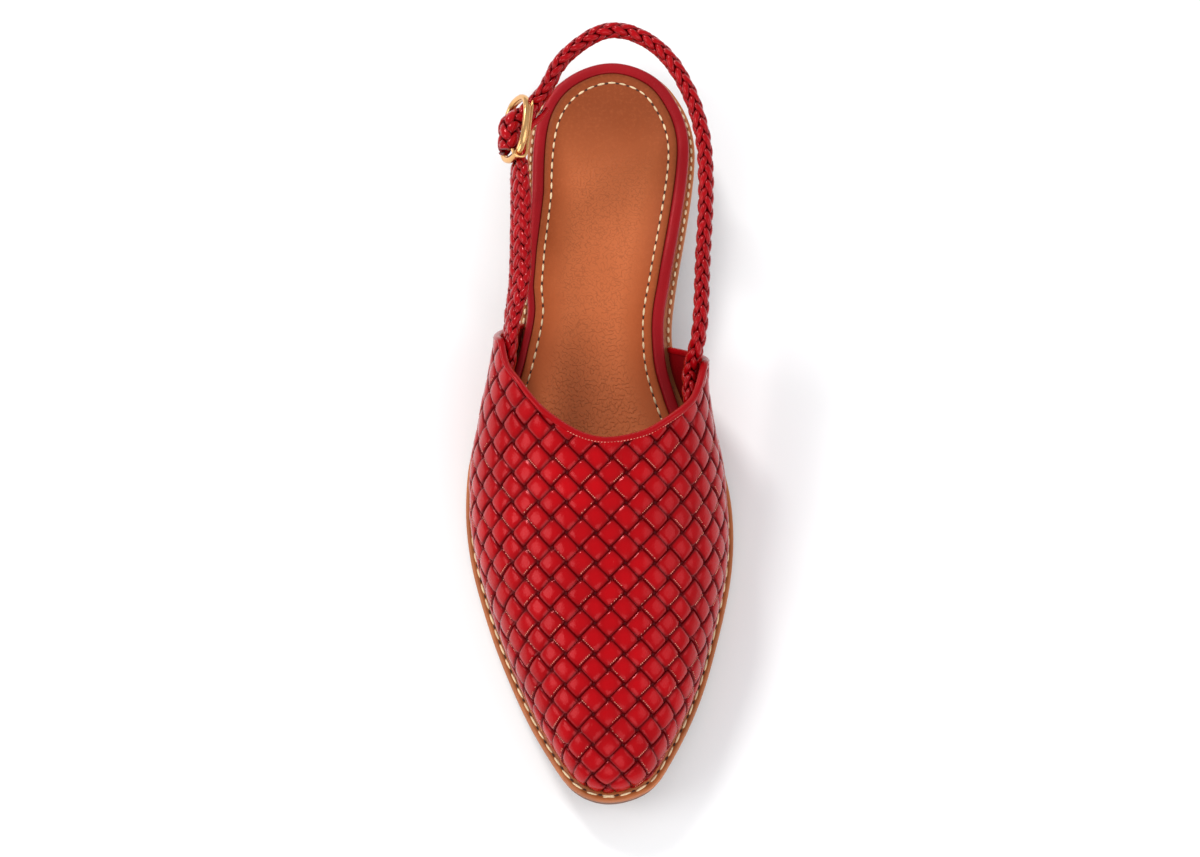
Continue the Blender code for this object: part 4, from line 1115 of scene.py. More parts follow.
@dataclass
class SoleUnit:
    """Outsole, stitched welt and stacked heel."""

    plan: SolePlan
    outsole: float = 0.0045
    midsole: float = 0.0027
    gap: float = 0.0003
    outsole_setback: float = 0.0008
    heel_setback: float = 0.0012
    heel_taper: float = 0.0012
    heel_length: float = 0.062
    breast_hollow: float = 0.0050
    lifts: int = 3
    # half width of a groove in a dressed edge and in the heel, and the heel's depth of it
    line_half: float = 0.00022
    lift_half: float = 0.00025
    lift_groove: float = 0.0003
    # setback and height of a layer's rounded corners, from its foot and from its top
    low_corner: Pairs = ((0.0007, 0.0), (0.0002, 0.0002), (0.0, 0.0007))
    high_corner: Pairs = ((0.0, -0.0005), (0.0002, -0.00012), (0.0006, 0.0))
    # setback and depth of the wheeled groove on the welt
    wheeled: Pairs = ((0.0011, 0.0), (0.0014, 0.00025), (0.0020, 0.00025), (0.0023, 0.0))
    # height from the heel's foot and more taper of its lowest rings
    heel_corner: Pairs = ((0.0, 0.0006), (0.0002, 0.0001), (0.0006, 0.0))
    # inset, pitch, first and last share of the length
    toe_seam: tuple[float, ...] = (0.0017, 0.0055, 0.50, 1.0)
    waist_seam: tuple[float, ...] = (0.0012, 0.0032, 0.0, 0.495)
    toe_stitch: Stitch = Stitch(0.0041, 0.00080, 0.0006, 0.06, 0.10, 4)
    toe_hole: Stitch = Stitch(0.0015, 0.00066, 0.00024, 0.06, 0.10, 4)
    waist_stitch: Stitch = Stitch(0.0022, 0.0009, 0.0006, 0.06, 0.10, 4)

    def slab(
        self, name: str, rings: Sequence[Array], columns: int = 12, shape: Callable | None = None
    ) -> Object:
        """Make a solid of stacked rings whose caps run across the foot.

        Args:
            name: name of the piece.
            rings: rings of the cross rows' loop, from the bottom up.
            columns: strips across the top.
            shape: raises the top's inner points, from their x, y and shares across and along.

        Returns:
            The piece.
        """
        count = len(rings[0])
        rows = (count - 2) // 2
        points = [tuple(point) for ring in rings for point in ring]
        faces: Faces = []
        for level in range(len(rings) - 1):
            faces += bridge(level * count, (level + 1) * count, count)
        for base, strips in ((0, 4), ((len(rings) - 1) * count, columns)):
            lines = []
            for row in range(1, rows + 1):
                medial, lateral = base + row, base + count - row
                start, end = np.array(points[medial]), np.array(points[lateral])
                line = [medial]
                for share in np.arange(1, strips) / strips:
                    point = start + (end - start) * share
                    if base and shape:
                        point[2] += shape(point[0], point[1], share, row / (rows + 1))
                    line.append(len(points))
                    points.append(tuple(point))
                lines.append(line + [lateral])
            for near, far in zip(lines, lines[1:]):
                faces += [(near[i], near[i + 1], far[i + 1], far[i]) for i in range(strips)]
            for end, line in ((base, lines[0]), (base + rows + 1, lines[-1])):
                faces += [(end, line[i], line[i + 1]) for i in range(strips)]
        return new_object(name, points, faces)

    def edge_rings(
        self, setback: float, low: float, high: float, lines: Sequence[float], groove: float
    ) -> list[Array]:
        """Return the rings of a layer's edge with rounded corners and fine grooves."""
        steps = [(inset, low + rise) for inset, rise in self.low_corner]
        for line in lines:
            height = low + (high - low) * line
            half = self.line_half
            steps += [(0.0, height - half), (groove, height), (0.0, height + half)]
        steps += [(inset, high + rise) for inset, rise in self.high_corner]
        return [self.plan.ring(setback + inset, height) for inset, height in steps]

    def build_outsole(self, finish: EdgeLeather) -> None:
        """Make the leather outsole."""
        rings = self.edge_rings(self.outsole_setback, 0.0, self.outsole, (0.36, 0.62), 0.00028)
        place(self.slab("outsole_leather", rings), finish.make(), Slot.SOLE, "outsole")

    def build_welt(self, finish: EdgeLeather) -> None:
        """Make the midsole whose edge is the welt, with a wheeled groove on its top."""
        base = self.outsole + self.gap * 0.3
        top = self.outsole + self.gap + self.midsole
        rings = self.edge_rings(0.0, base, top, (0.5,), 0.00022)
        rings += [self.plan.ring(inset, top - depth) for inset, depth in self.wheeled]
        place(self.slab("stitched_welt", rings), finish.make(), Slot.WELT, "midsole")

    def build_heel(self, finish: EdgeLeather) -> None:
        """Make the stacked heel with lift lines and a hollowed breast."""
        plan = self.plan
        breast = plan.length / 2 - self.heel_length
        top = plan.heel_height - self.gap * 0.3
        behind = np.flatnonzero(plan.curve[:, 1] >= breast)
        medial, lateral = behind[behind <= plan.toe], behind[behind > plan.toe]
        kept = np.concatenate([lateral[::4], [lateral[-1]], medial[::4], [medial[-1]]])
        levels = [(height, self.heel_taper + inset) for height, inset in self.heel_corner]
        for line in range(1, self.lifts):
            share = line / self.lifts
            height, inset, half = top * share, self.heel_taper * (1 - share), self.lift_half
            levels.append((height - half, inset))
            levels.append((height, inset + self.lift_groove))
            levels.append((height + half, inset))
        levels += [(top - 0.0003, 0.0), (top, 0.0003)]
        across = np.arange(1, 20)[:, None] / 20
        rings = []
        for height, inset in levels:
            loop = plan.loop(self.outsole_setback + self.heel_setback + inset)[kept]
            front = loop[-1] + (loop[0] - loop[-1]) * across
            front[:, 1] += self.breast_hollow * np.sin(math.pi * across[:, 0])
            flat = np.vstack([loop, front])
            rings.append(np.c_[flat, np.full(len(flat), height)])
        points, faces = tube(np.array(rings))
        place(new_object("stacked_heel", points, faces), finish.make(), Slot.HEEL, "heel")

    def seam(self, height: float, side: Side, table: Sequence[float]) -> tuple[Array, ...]:
        """Return stitch points beside the edge with their tangents and normals."""
        plan = self.plan
        inset, pitch, start, end = table
        flat = plan.loop(inset)
        along = plan.share_along(flat[:, 1])
        at = np.arange(plan.samples)
        half = at <= plan.toe if side is Side.MEDIAL else at >= plan.toe
        flat = flat[half & (along >= start) & (along <= end)]
        line = even_points(np.c_[flat, plan.tread(flat[:, 1]) + height], pitch)
        return line, unit(np.gradient(line, axis=0)), upwards(len(line))

    def build_stitches(self, tree: StitchTree, finish: Thread, dark: Thread) -> None:
        """Make the welt's stitches, and dark blobs between the long ones painted as the shade of
        needle holes.
        """
        top = self.outsole + self.gap + self.midsole + 0.00003
        for name, thread, table, stitch in (
            ("welt_stitches_toe", finish, self.toe_seam, self.toe_stitch),
            ("welt_holes_toe", dark, self.toe_seam, self.toe_hole),
            ("welt_stitches_waist", finish, self.waist_seam, self.waist_stitch),
        ):
            parts = [self.seam(top, side, table) for side in Side]
            if thread is dark:
                parts = [[(rows[:-1] + rows[1:]) / 2 for rows in part] for part in parts]
            rows = [np.vstack(column) for column in zip(*parts)]
            tree.sew(name, rows, stitch, thread, Slot.WELT)


# ---------------------------------------------------------------- footbed and insole


@dataclass
class Footbed:
    """Covered platform with its rounded rim, and the insole in its recess."""

    plan: SolePlan
    sole: SoleUnit
    base: float = 0.0078
    thickness: float = 0.0052
    rim: float = 0.0039
    recess: float = 0.0021
    insole: float = 0.0016
    dish: float = 0.0012
    gap: float = 0.0003
    stitch_pitch: float = 0.0037
    stitch: Stitch = Stitch(0.0027, 0.00072, 0.0006, 0.0, 0.10, 9)
    hole: Stitch = Stitch(0.0013, 0.0007, 0.00022, 0.0, 0.15, 9)
    wave: float = 0.00012
    # width of the dark edge; depth, last share of the length and length of the heel's darkening
    dark_edge: float = 0.012
    dark_heel: tuple[float, ...] = (0.75, 0.22, 0.17)
    # distance inwards and below the rim's top as shares of its width
    profile: Pairs = (
        (0.00, 0.36), (0.01, 0.22), (0.06, 0.115), (0.14, 0.050), (0.26, 0.016), (0.46, 0.0),
        (0.66, 0.008), (0.82, 0.036), (0.92, 0.085), (0.98, 0.17), (1.00, 0.28),
    )
    # share of the length, and the stitches' distance from the insole's edge on both sides
    stitch_inset: Triples = (
        (0.00, 0.0036, 0.0036), (0.06, 0.0033, 0.0034), (0.16, 0.0026, 0.0028),
        (0.40, 0.0027, 0.0030), (1.00, 0.0030, 0.0030),
    )

    def top(self) -> float:
        """Return the rim's height above the tread."""
        return self.base + self.thickness

    def build_rim(self, finish: GlossLeather) -> None:
        """Make the covered platform with its bead."""
        edge, top, ring = self.plan.footbed_edge(), self.top(), self.plan.ring
        rim = self.rim * self.plan.rim_share()
        rings = [ring(edge + 0.0004, self.base), ring(edge, self.base + 0.0006)]
        for inwards, below in self.profile:
            rings.append(ring(edge + rim * inwards, top - self.rim * below))
        rings.append(ring(edge + rim + 0.0002, top - self.recess))
        place(self.sole.slab("footbed_rim", rings), finish.make(), Slot.RIM, "footbed")

    def hollow(self, x: float, y: float, across: float, along: float) -> float:
        """Return the height of the insole's inner points against its edge."""
        ends = min(1.0, 3.0 * min(along, 1 - along))
        dish = -self.dish * ends * (1 - (2 * across - 1) ** 4)
        waves = math.sin(190 * y + 60 * x) * math.sin(260 * x + 1.0) * self.wave
        return dish + waves * ends

    def build_insole(self, finish: SockLeather) -> None:
        """Make the insole with its edge attribute."""
        plan = self.plan
        edge = plan.footbed_edge() + self.rim * plan.rim_share() + self.gap * 0.3
        low = self.top() - self.recess + self.gap
        top = low + self.insole
        rings = [plan.ring(edge, low)]
        rings += [plan.ring(edge + inset, top + rise) for inset, rise in self.sole.high_corner]
        piece = self.sole.slab("insole_sock", rings, 28, self.hollow)
        loop = plan.loop(edge)
        points = get_points(piece.data)
        depth = distance_inside(points[:, :2], loop[::4])
        dark, last, reach = self.dark_heel
        heel = dark * ease((last - plan.share_along(points[:, 1])) / reach)
        # edge: darker border whose outermost line is painted shade below the rim, and darker
        # towards the heel
        dark = np.maximum(1 - depth / self.dark_edge, heel)
        set_attribute(piece.data, "edge", np.clip(dark, 0, 1))
        faces = [tuple(face.vertices) for face in piece.data.polygons]
        self.surface = BVHTree.FromPolygons([tuple(point) for point in points], faces)
        place(piece, finish.make(), Slot.INSOLE, "insole")

    def on_insole(self, flat: Array) -> Array:
        """Return flat points raised to the insole's top."""
        down = Vector((0, 0, -1))
        return np.c_[flat, [self.surface.ray_cast(Vector((x, y, 0.1)), down)[0].z for x, y in flat]]

    def build_stitches(self, tree: StitchTree, finish: Thread, dark: Thread) -> None:
        """Make the insole's stitches, and dark blobs between them painted as the shade of needle
        holes.
        """
        plan = self.plan
        along = plan.share_along(plan.curve[:, 1])
        medial = np.arange(plan.samples) <= plan.toe
        insets = [looked_up(self.stitch_inset, along, column) for column in (2, 1)]
        inset = np.where(medial, *insets)
        loop = plan.loop(plan.footbed_edge() + self.rim * plan.rim_share() + inset)
        flat = even_points(loop, self.stitch_pitch, closed=True)
        between = (flat + np.roll(flat, -1, 0)) / 2
        points = self.on_insole(np.stack([flat, between], 1).reshape(-1, 2))
        tangents = unit(np.roll(points, -1, 0) - np.roll(points, 1, 0))
        for name, first, stitch, thread in (
            ("insole_stitches", 0, self.stitch, finish),
            ("insole_holes", 1, self.hole, dark),
        ):
            rows = points[first::2], tangents[first::2], upwards(len(flat))
            tree.sew(name, rows, stitch, thread, Slot.INSOLE)


# ---------------------------------------------------------------- woven upper


@dataclass
class WovenUpper:
    """Strips woven at forty-five degrees over a lining, with a folded binding round the opening."""

    skin: Skin
    pitch: float = 0.00972
    start: float = 0.0044
    wall: float = 0.0013
    binding: float = 0.0022
    lining_step: float = 0.0026
    lining_edge_step: float = 0.0016
    lining_lift: float = -0.00035
    # the binding's share of its full width in the middle, what it loses on both sides, and by where
    bound_middle: float = 0.84
    bound_loss: tuple[float, float] = (0.36, 0.16)
    bound_reach: float = 0.45
    bound_step: float = 0.0011
    # shares of the binding's width at which the strips' field starts, and by which it stays clear
    field_inset: float = 0.8
    field_clear: float = 0.62
    # share of a float that has to be inside the field
    least_shown: float = 0.10
    stitch_pitch: float = 0.00105
    stitch_inset: float = 0.00178
    stitch_clear: float = 0.0013
    stitch_lift: float = 0.00074
    stitch: Stitch = Stitch(0.00062, 0.00026, 0.00022, 0.15, 0.25, 12)
    fleck: Stitch = Stitch(0.00050, 0.00026, 0.00030, 0.35, 0.35, 4)
    fleck_share: float = 0.55
    fleck_kept: float = 0.8
    fleck_inset: float = 0.00050
    fleck_clear: float = 0.004
    fleck_seed: int = 31
    spread: Spread = Spread(0.022, 0.00004, 0.025, 5)
    # share of the length at the foot and share of the half girth, lateral side negative
    topline: Pairs = (
        (0.362, -0.523), (0.391, -0.456), (0.409, -0.383), (0.443, -0.287), (0.475, -0.193),
        (0.494, -0.109), (0.500, 0.000), (0.490, 0.139), (0.475, 0.218), (0.450, 0.328),
        (0.432, 0.415), (0.413, 0.466), (0.392, 0.526),
    )
    strip: StripFloat = StripFloat(0.0063, 0.00100, 0.05, (
        (0.0, 0.54), (1.5, 0.51), (2.5, 0.38), (3.15, 0.08), (3.75, -0.34), (4.5, -0.55),
    ))
    # distance inside the edge and lift of the binding's fold, in millimetres
    fold: Pairs = (
        (2.20, 0.10), (2.18, 0.50), (1.95, 0.70), (1.50, 0.78), (0.90, 0.78), (0.35, 0.66),
        (-0.02, 0.40), (-0.20, 0.00), (-0.26, -0.45), (-0.24, -0.90), (-0.05, -1.32), (0.35, -1.56),
        (1.00, -1.66), (1.80, -1.64), (2.30, -1.52), (2.34, -1.24),
    )

    def __post_init__(self) -> None:
        """Draw the edges on the chart."""
        skin = self.skin
        table = np.array(self.topline)
        rows = np.arange(len(table))
        top = spline(rows, table)(np.linspace(0, rows[-1], 240))
        ridge = skin.ridge_at(top[:, 0])
        top = np.c_[ridge, top[:, 1] * skin.girth_at(ridge, top[:, 1])]
        backs, feet = {}, {}
        for side, corner in ((Side.LATERAL, top[0]), (Side.MEDIAL, top[-1])):
            full = float(skin.girth_at(corner[0], side.value)) * side.value
            sides = np.linspace(corner[1], full, 40)[1:]
            backs[side] = np.c_[np.full(len(sides), corner[0]), sides]
            ridges = corner[0] * np.linspace(1, 0, 110)[1:-1] ** 1.5
            feet[side] = np.c_[ridges, skin.girth_at(ridges, side.value) * side.value]
        bound = np.vstack([backs[Side.LATERAL][::-1], top, backs[Side.MEDIAL]])
        self.bound = even_points(bound, self.bound_step)
        for _ in range(3):
            rounded = 0.25 * self.bound[:-2] + 0.5 * self.bound[1:-1] + 0.25 * self.bound[2:]
            self.bound[1:-1] = rounded
        foot = np.vstack([feet[Side.MEDIAL], [[0.0, 0.0]], feet[Side.LATERAL][::-1]])
        self.outline = np.vstack([self.bound, foot])
        self.narrow = self.narrowing()
        width = self.binding * self.narrow
        inner = self.bound + self.bound_inward() * (width * self.field_inset)[:, None]
        far = distance_inside(inner, self.outline) > width * self.field_clear
        self.field = np.vstack([inner[far], foot])

    def narrowing(self) -> Array:
        """Return the binding's share of its full width, least at the lateral quarter."""
        side = self.bound[:, 1] / np.abs(self.bound[:, 1]).max()
        loss = np.where(side < 0, *self.bound_loss)
        return self.bound_middle - loss * ease(np.abs(side) / self.bound_reach)

    def bound_inward(self) -> Array:
        """Return the chart directions from the bound edge into the upper."""
        along = unit(np.gradient(self.bound, axis=0))
        inward = np.c_[-along[:, 1], along[:, 0]]
        probe = distance_inside(self.bound + inward * 0.0008, self.outline)
        return inward if np.median(probe) > 0 else -inward

    def crossings(self) -> tuple[Array, Array]:
        """Return the middles of the weave's cells, and the turn of the strip on top."""
        spots, turns = [], []
        rows = int(self.outline[:, 0].max() / self.pitch) + 2
        cols = int(np.abs(self.outline[:, 1]).max() / self.pitch * 2) + 2
        for row in range(-2, rows):
            for col in range(-cols, cols + 1):
                ridge = self.start + (row + 0.5 * (col % 2) + 0.5) * self.pitch
                spots.append((ridge, col * self.pitch / 2))
                turns.append(math.pi / 4 if col % 2 == 0 else -math.pi / 4)
        spots, turns = np.array(spots), np.array(turns)
        near = distance_inside(spots, self.field) > -0.48 * self.pitch
        return spots[near], turns[near]

    def build_weave(self, tree: FloatTree, finish: GlossLeather) -> None:
        """Lay the floats flat, clip them at the field's edge and bend them onto the last."""
        spots, turns = self.crossings()
        material = finish.make()
        flat = np.c_[spots, np.zeros(len(spots))]
        mesh = tree.lay(self.strip, flat, turns, self.spread, material)
        points = get_points(mesh)
        spots, inside = nearest_on_loop(points[:, :2], self.field)
        clipped = np.where(inside[:, None], points[:, :2], spots)
        count = len(points) // len(turns)
        hidden = inside.reshape(-1, count).mean(1) <= self.least_shown
        mesh.vertices.foreach_set("co", self.skin.lifted(clipped, points[:, 2]).ravel())
        shape = bmesh.new()
        shape.from_mesh(mesh)
        shape.verts.ensure_lookup_table()
        dropped = [shape.verts[i] for i in np.flatnonzero(np.repeat(hidden, count))]
        bmesh.ops.delete(shape, geom=dropped, context="VERTS")
        bmesh.ops.dissolve_degenerate(shape, dist=0.00001, edges=shape.edges)
        shape.to_mesh(mesh)
        shape.free()
        mesh.shade_smooth()
        mesh.set_sharp_from_angle(angle=math.radians(60))
        place(linked("woven_strips", mesh), material, Slot.UPPER, "upper")

    def build_flecks(self, tree: StitchTree, finish: Thread) -> None:
        """Sew rows of fine stitches along one edge of many floats."""
        spots, turns = self.crossings()
        chance = np.random.default_rng(self.fleck_seed)
        steps = np.linspace(-2.1, 2.1, 7) * MM
        rows, ways = [], []
        for spot, turn in zip(spots, turns):
            plain = chance.random() > self.fleck_share
            if plain or distance_inside(spot[None], self.field)[0] < self.fleck_clear:
                continue
            way = np.array([math.cos(turn), math.sin(turn)])
            side = np.array([-way[1], way[0]]) * (self.strip.width / 2 - self.fleck_inset)
            side *= 1 if side[0] < 0 else -1
            kept = steps[chance.random(len(steps)) < self.fleck_kept]
            rows.extend(spot + way * step + side for step in kept)
            ways.extend(way for _ in kept)
        rows, ways = np.array(rows), np.array(ways)
        points, normals = self.skin.frame(rows)
        tangents = unit(self.skin.lifted(rows + ways * 0.0004, 0.0) - points)
        lifted = points + normals * self.stitch_lift
        tree.sew("strip_stitches", (lifted, tangents, normals), self.fleck, finish, Slot.UPPER)

    def build_lining(self, finish: GlossLeather) -> None:
        """Make the wall behind the strips, closed round its edge, its outer sheet painted dark as
        the shade seen through the gaps.
        """
        outline = even_points(self.outline, self.lining_edge_step, closed=True)
        grid_x = np.arange(0, outline[:, 0].max(), self.lining_step)
        reach = np.abs(outline[:, 1]).max()
        grid_y = np.arange(-reach, reach, self.lining_step)
        grid = np.stack(np.meshgrid(grid_x, grid_y), -1).reshape(-1, 2)
        grid = grid[distance_inside(grid, outline) > 0.5 * self.lining_step]
        count = len(outline)
        edges = [(i, (i + 1) % count) for i in range(count)]
        spots = [Vector(point) for point in np.vstack([outline, grid]) / MM]
        found, _, faces, source, _, _ = delaunay_2d_cdt(spots, edges, [], 1, 1e-5)
        chart = np.array([tuple(spot) for spot in found]) * MM
        at = {ids[0]: i for i, ids in enumerate(source) if ids}
        shift = len(chart)
        lifts = (self.lining_lift, -self.wall)
        points = np.vstack([self.skin.lifted(chart, lift) for lift in lifts])
        sheets = [tuple(face) for face in faces]
        sheets += [tuple(shift + i for i in face[::-1]) for face in faces]
        sheets += [(at[i], at[j], at[j] + shift, at[i] + shift) for i, j in edges]
        piece = new_object("upper_lining", points, sheets)
        # painted shade: the outer sheet takes the darkest colour, the inner sheet the lining's own
        set_attribute(piece.data, "edge", np.repeat([1.0, 0.0], shift))
        place(piece, finish.make(), Slot.UPPER)

    def build_binding(self, finish: GlossLeather) -> None:
        """Fold the binding over the edge of the opening."""
        inward = self.bound_inward()
        points, normals = self.skin.frame(self.bound)
        inwards = unit(self.skin.lifted(self.bound + inward * 0.0006, 0.0) - points)
        rings = np.zeros((len(points), len(self.fold), 3))
        for j, (depth, lift) in enumerate(np.array(self.fold) * MM):
            if depth > 0:
                deep = self.bound + inward * (self.narrow * depth)[:, None]
                rings[:, j] = self.skin.lifted(deep, lift)
            else:
                rings[:, j] = points + inwards * depth + normals * lift
        piece = new_object("topline_binding", *tube(rings))
        place(piece, finish.make(), Slot.UPPER)

    def build_stitches(self, tree: StitchTree, finish: Thread) -> None:
        """Sew the binding with fine stitches near its lower edge."""
        line = self.bound + self.bound_inward() * (self.narrow * self.stitch_inset)[:, None]
        clear = distance_inside(line, self.outline) > self.stitch_clear
        line = even_points(line[clear], self.stitch_pitch)
        points, normals = self.skin.frame(line)
        points = points + normals * self.stitch_lift
        rows = points, unit(np.gradient(points, axis=0)), normals
        tree.sew("binding_stitches", rows, self.stitch, finish, Slot.UPPER)


# ---------------------------------------------------------------- straps and buckle


@dataclass
class BuckleRing:
    """Leaning oval ring and its pin, and the frame that the straps are threaded by."""

    plan: SolePlan
    across: float = -0.3153
    along: float = 0.1523
    rise: float = 0.0550
    lean: float = 28.0
    turn: float = 6.0
    length: float = 0.0240
    height: float = 0.0180
    stock: float = 0.0026
    fullness: float = 2.6
    pin_rise: float = 0.0052
    pin_stock: float = 0.0011
    pin_gap: float = 0.0008
    # first and last turn of the pin's hook round the ring in degrees, and its points
    pin_turns: tuple[float, float, int] = (-75, 90, 24)
    # shares of the pin's size towards its tip
    pin_tip: tuple[float, ...] = (0.98, 0.92, 0.82, 0.66, 0.42)
    # shares of the stock, across and outwards, in the long bars and what the ends have more
    bar: tuple[float, float] = (0.66, 0.95)
    end: tuple[float, float] = (0.34, 0.10)
    # power that flattens the stock's section
    flatness: float = 0.8

    def point(self, back: Array | float, up: Array | float, out: Array | float) -> Array:
        """Return points at distances from the middle of the ring."""
        middle = [self.across * self.plan.width, self.plan.y_at(self.along), self.rise]
        return np.array(middle) + self.vector(back, up, out)

    def vector(self, back: Array | float, up: Array | float, out: Array | float) -> Array:
        """Return vectors from distances along the ring's own directions."""
        lean, turn = math.radians(self.lean), math.radians(self.turn)
        back, up, out = np.broadcast_arrays(np.asarray(back, float), up, out)
        inwards = up * math.sin(lean) - out * math.cos(lean)
        x = inwards * math.cos(turn) + back * math.sin(turn)
        y = back * math.cos(turn) - inwards * math.sin(turn)
        return np.stack([x, y, up * math.cos(lean) + out * math.sin(lean)], -1)

    def spots(self, turns: Array) -> tuple[Array, Array]:
        """Return the distances back and up of the stock's middle at turns round the ring."""
        power = 2 / self.fullness
        back = (self.length - self.stock) / 2 * bulged(np.cos(turns), power)
        return back, (self.height - self.stock) / 2 * bulged(np.sin(turns), power)

    def build_ring(self, material: Material) -> None:
        """Make the ring, broader at its two ends."""
        turns = np.linspace(0, 2 * math.pi, 721)[:-1]
        centres = even_points(self.point(*self.spots(turns), 0.0), 0.0006, closed=True)
        tangent = unit(np.roll(centres, -1, 0) - np.roll(centres, 1, 0))
        out = self.vector(0, 0, 1)
        side = unit(np.cross(tangent, out))
        ends = np.abs((centres[:, 1] - self.plan.y_at(self.along)) / (self.length / 2)) ** 6
        sizes = self.stock / 2 * (np.array(self.bar) + ends[:, None] * self.end)
        rings = swept(centres, side, out, sizes, bulged(circle(16), self.flatness))
        piece = new_object("buckle_ring", *tube(rings, closed=True), 60.0)
        place(piece, material, Slot.METAL, "buckle_frame")

    def build_pin(self, material: Material) -> None:
        """Make the pin, hooked round the front of the ring."""
        half_up, half_back = (self.height - self.stock) / 2, (self.length - self.stock) / 2
        reach = half_back * (1 - (self.pin_rise / half_up) ** self.fullness) ** (1 / self.fullness)
        hook = (self.stock + self.pin_stock) / 2 + self.pin_gap
        turns = np.radians(np.linspace(*self.pin_turns))
        path = self.point(-reach - hook * np.cos(turns), self.pin_rise, -hook * np.sin(turns))
        run = np.linspace(0.05, 1, 24) * (2 * reach + 0.0003)
        straight = self.point(-reach + run, self.pin_rise, -hook)
        path = np.vstack([path, straight])
        tangent = unit(np.gradient(path, axis=0))
        up = self.vector(0, 1, 0)
        across = unit(np.cross(tangent, up))
        size = np.full(len(path), self.pin_stock / 2)
        size[-len(self.pin_tip):] *= self.pin_tip
        rings = swept(path, across, up, np.c_[size, size], circle(12))
        piece = new_object("buckle_pin", *tube(rings))
        place(piece, material, Slot.METAL, "buckle_prong")


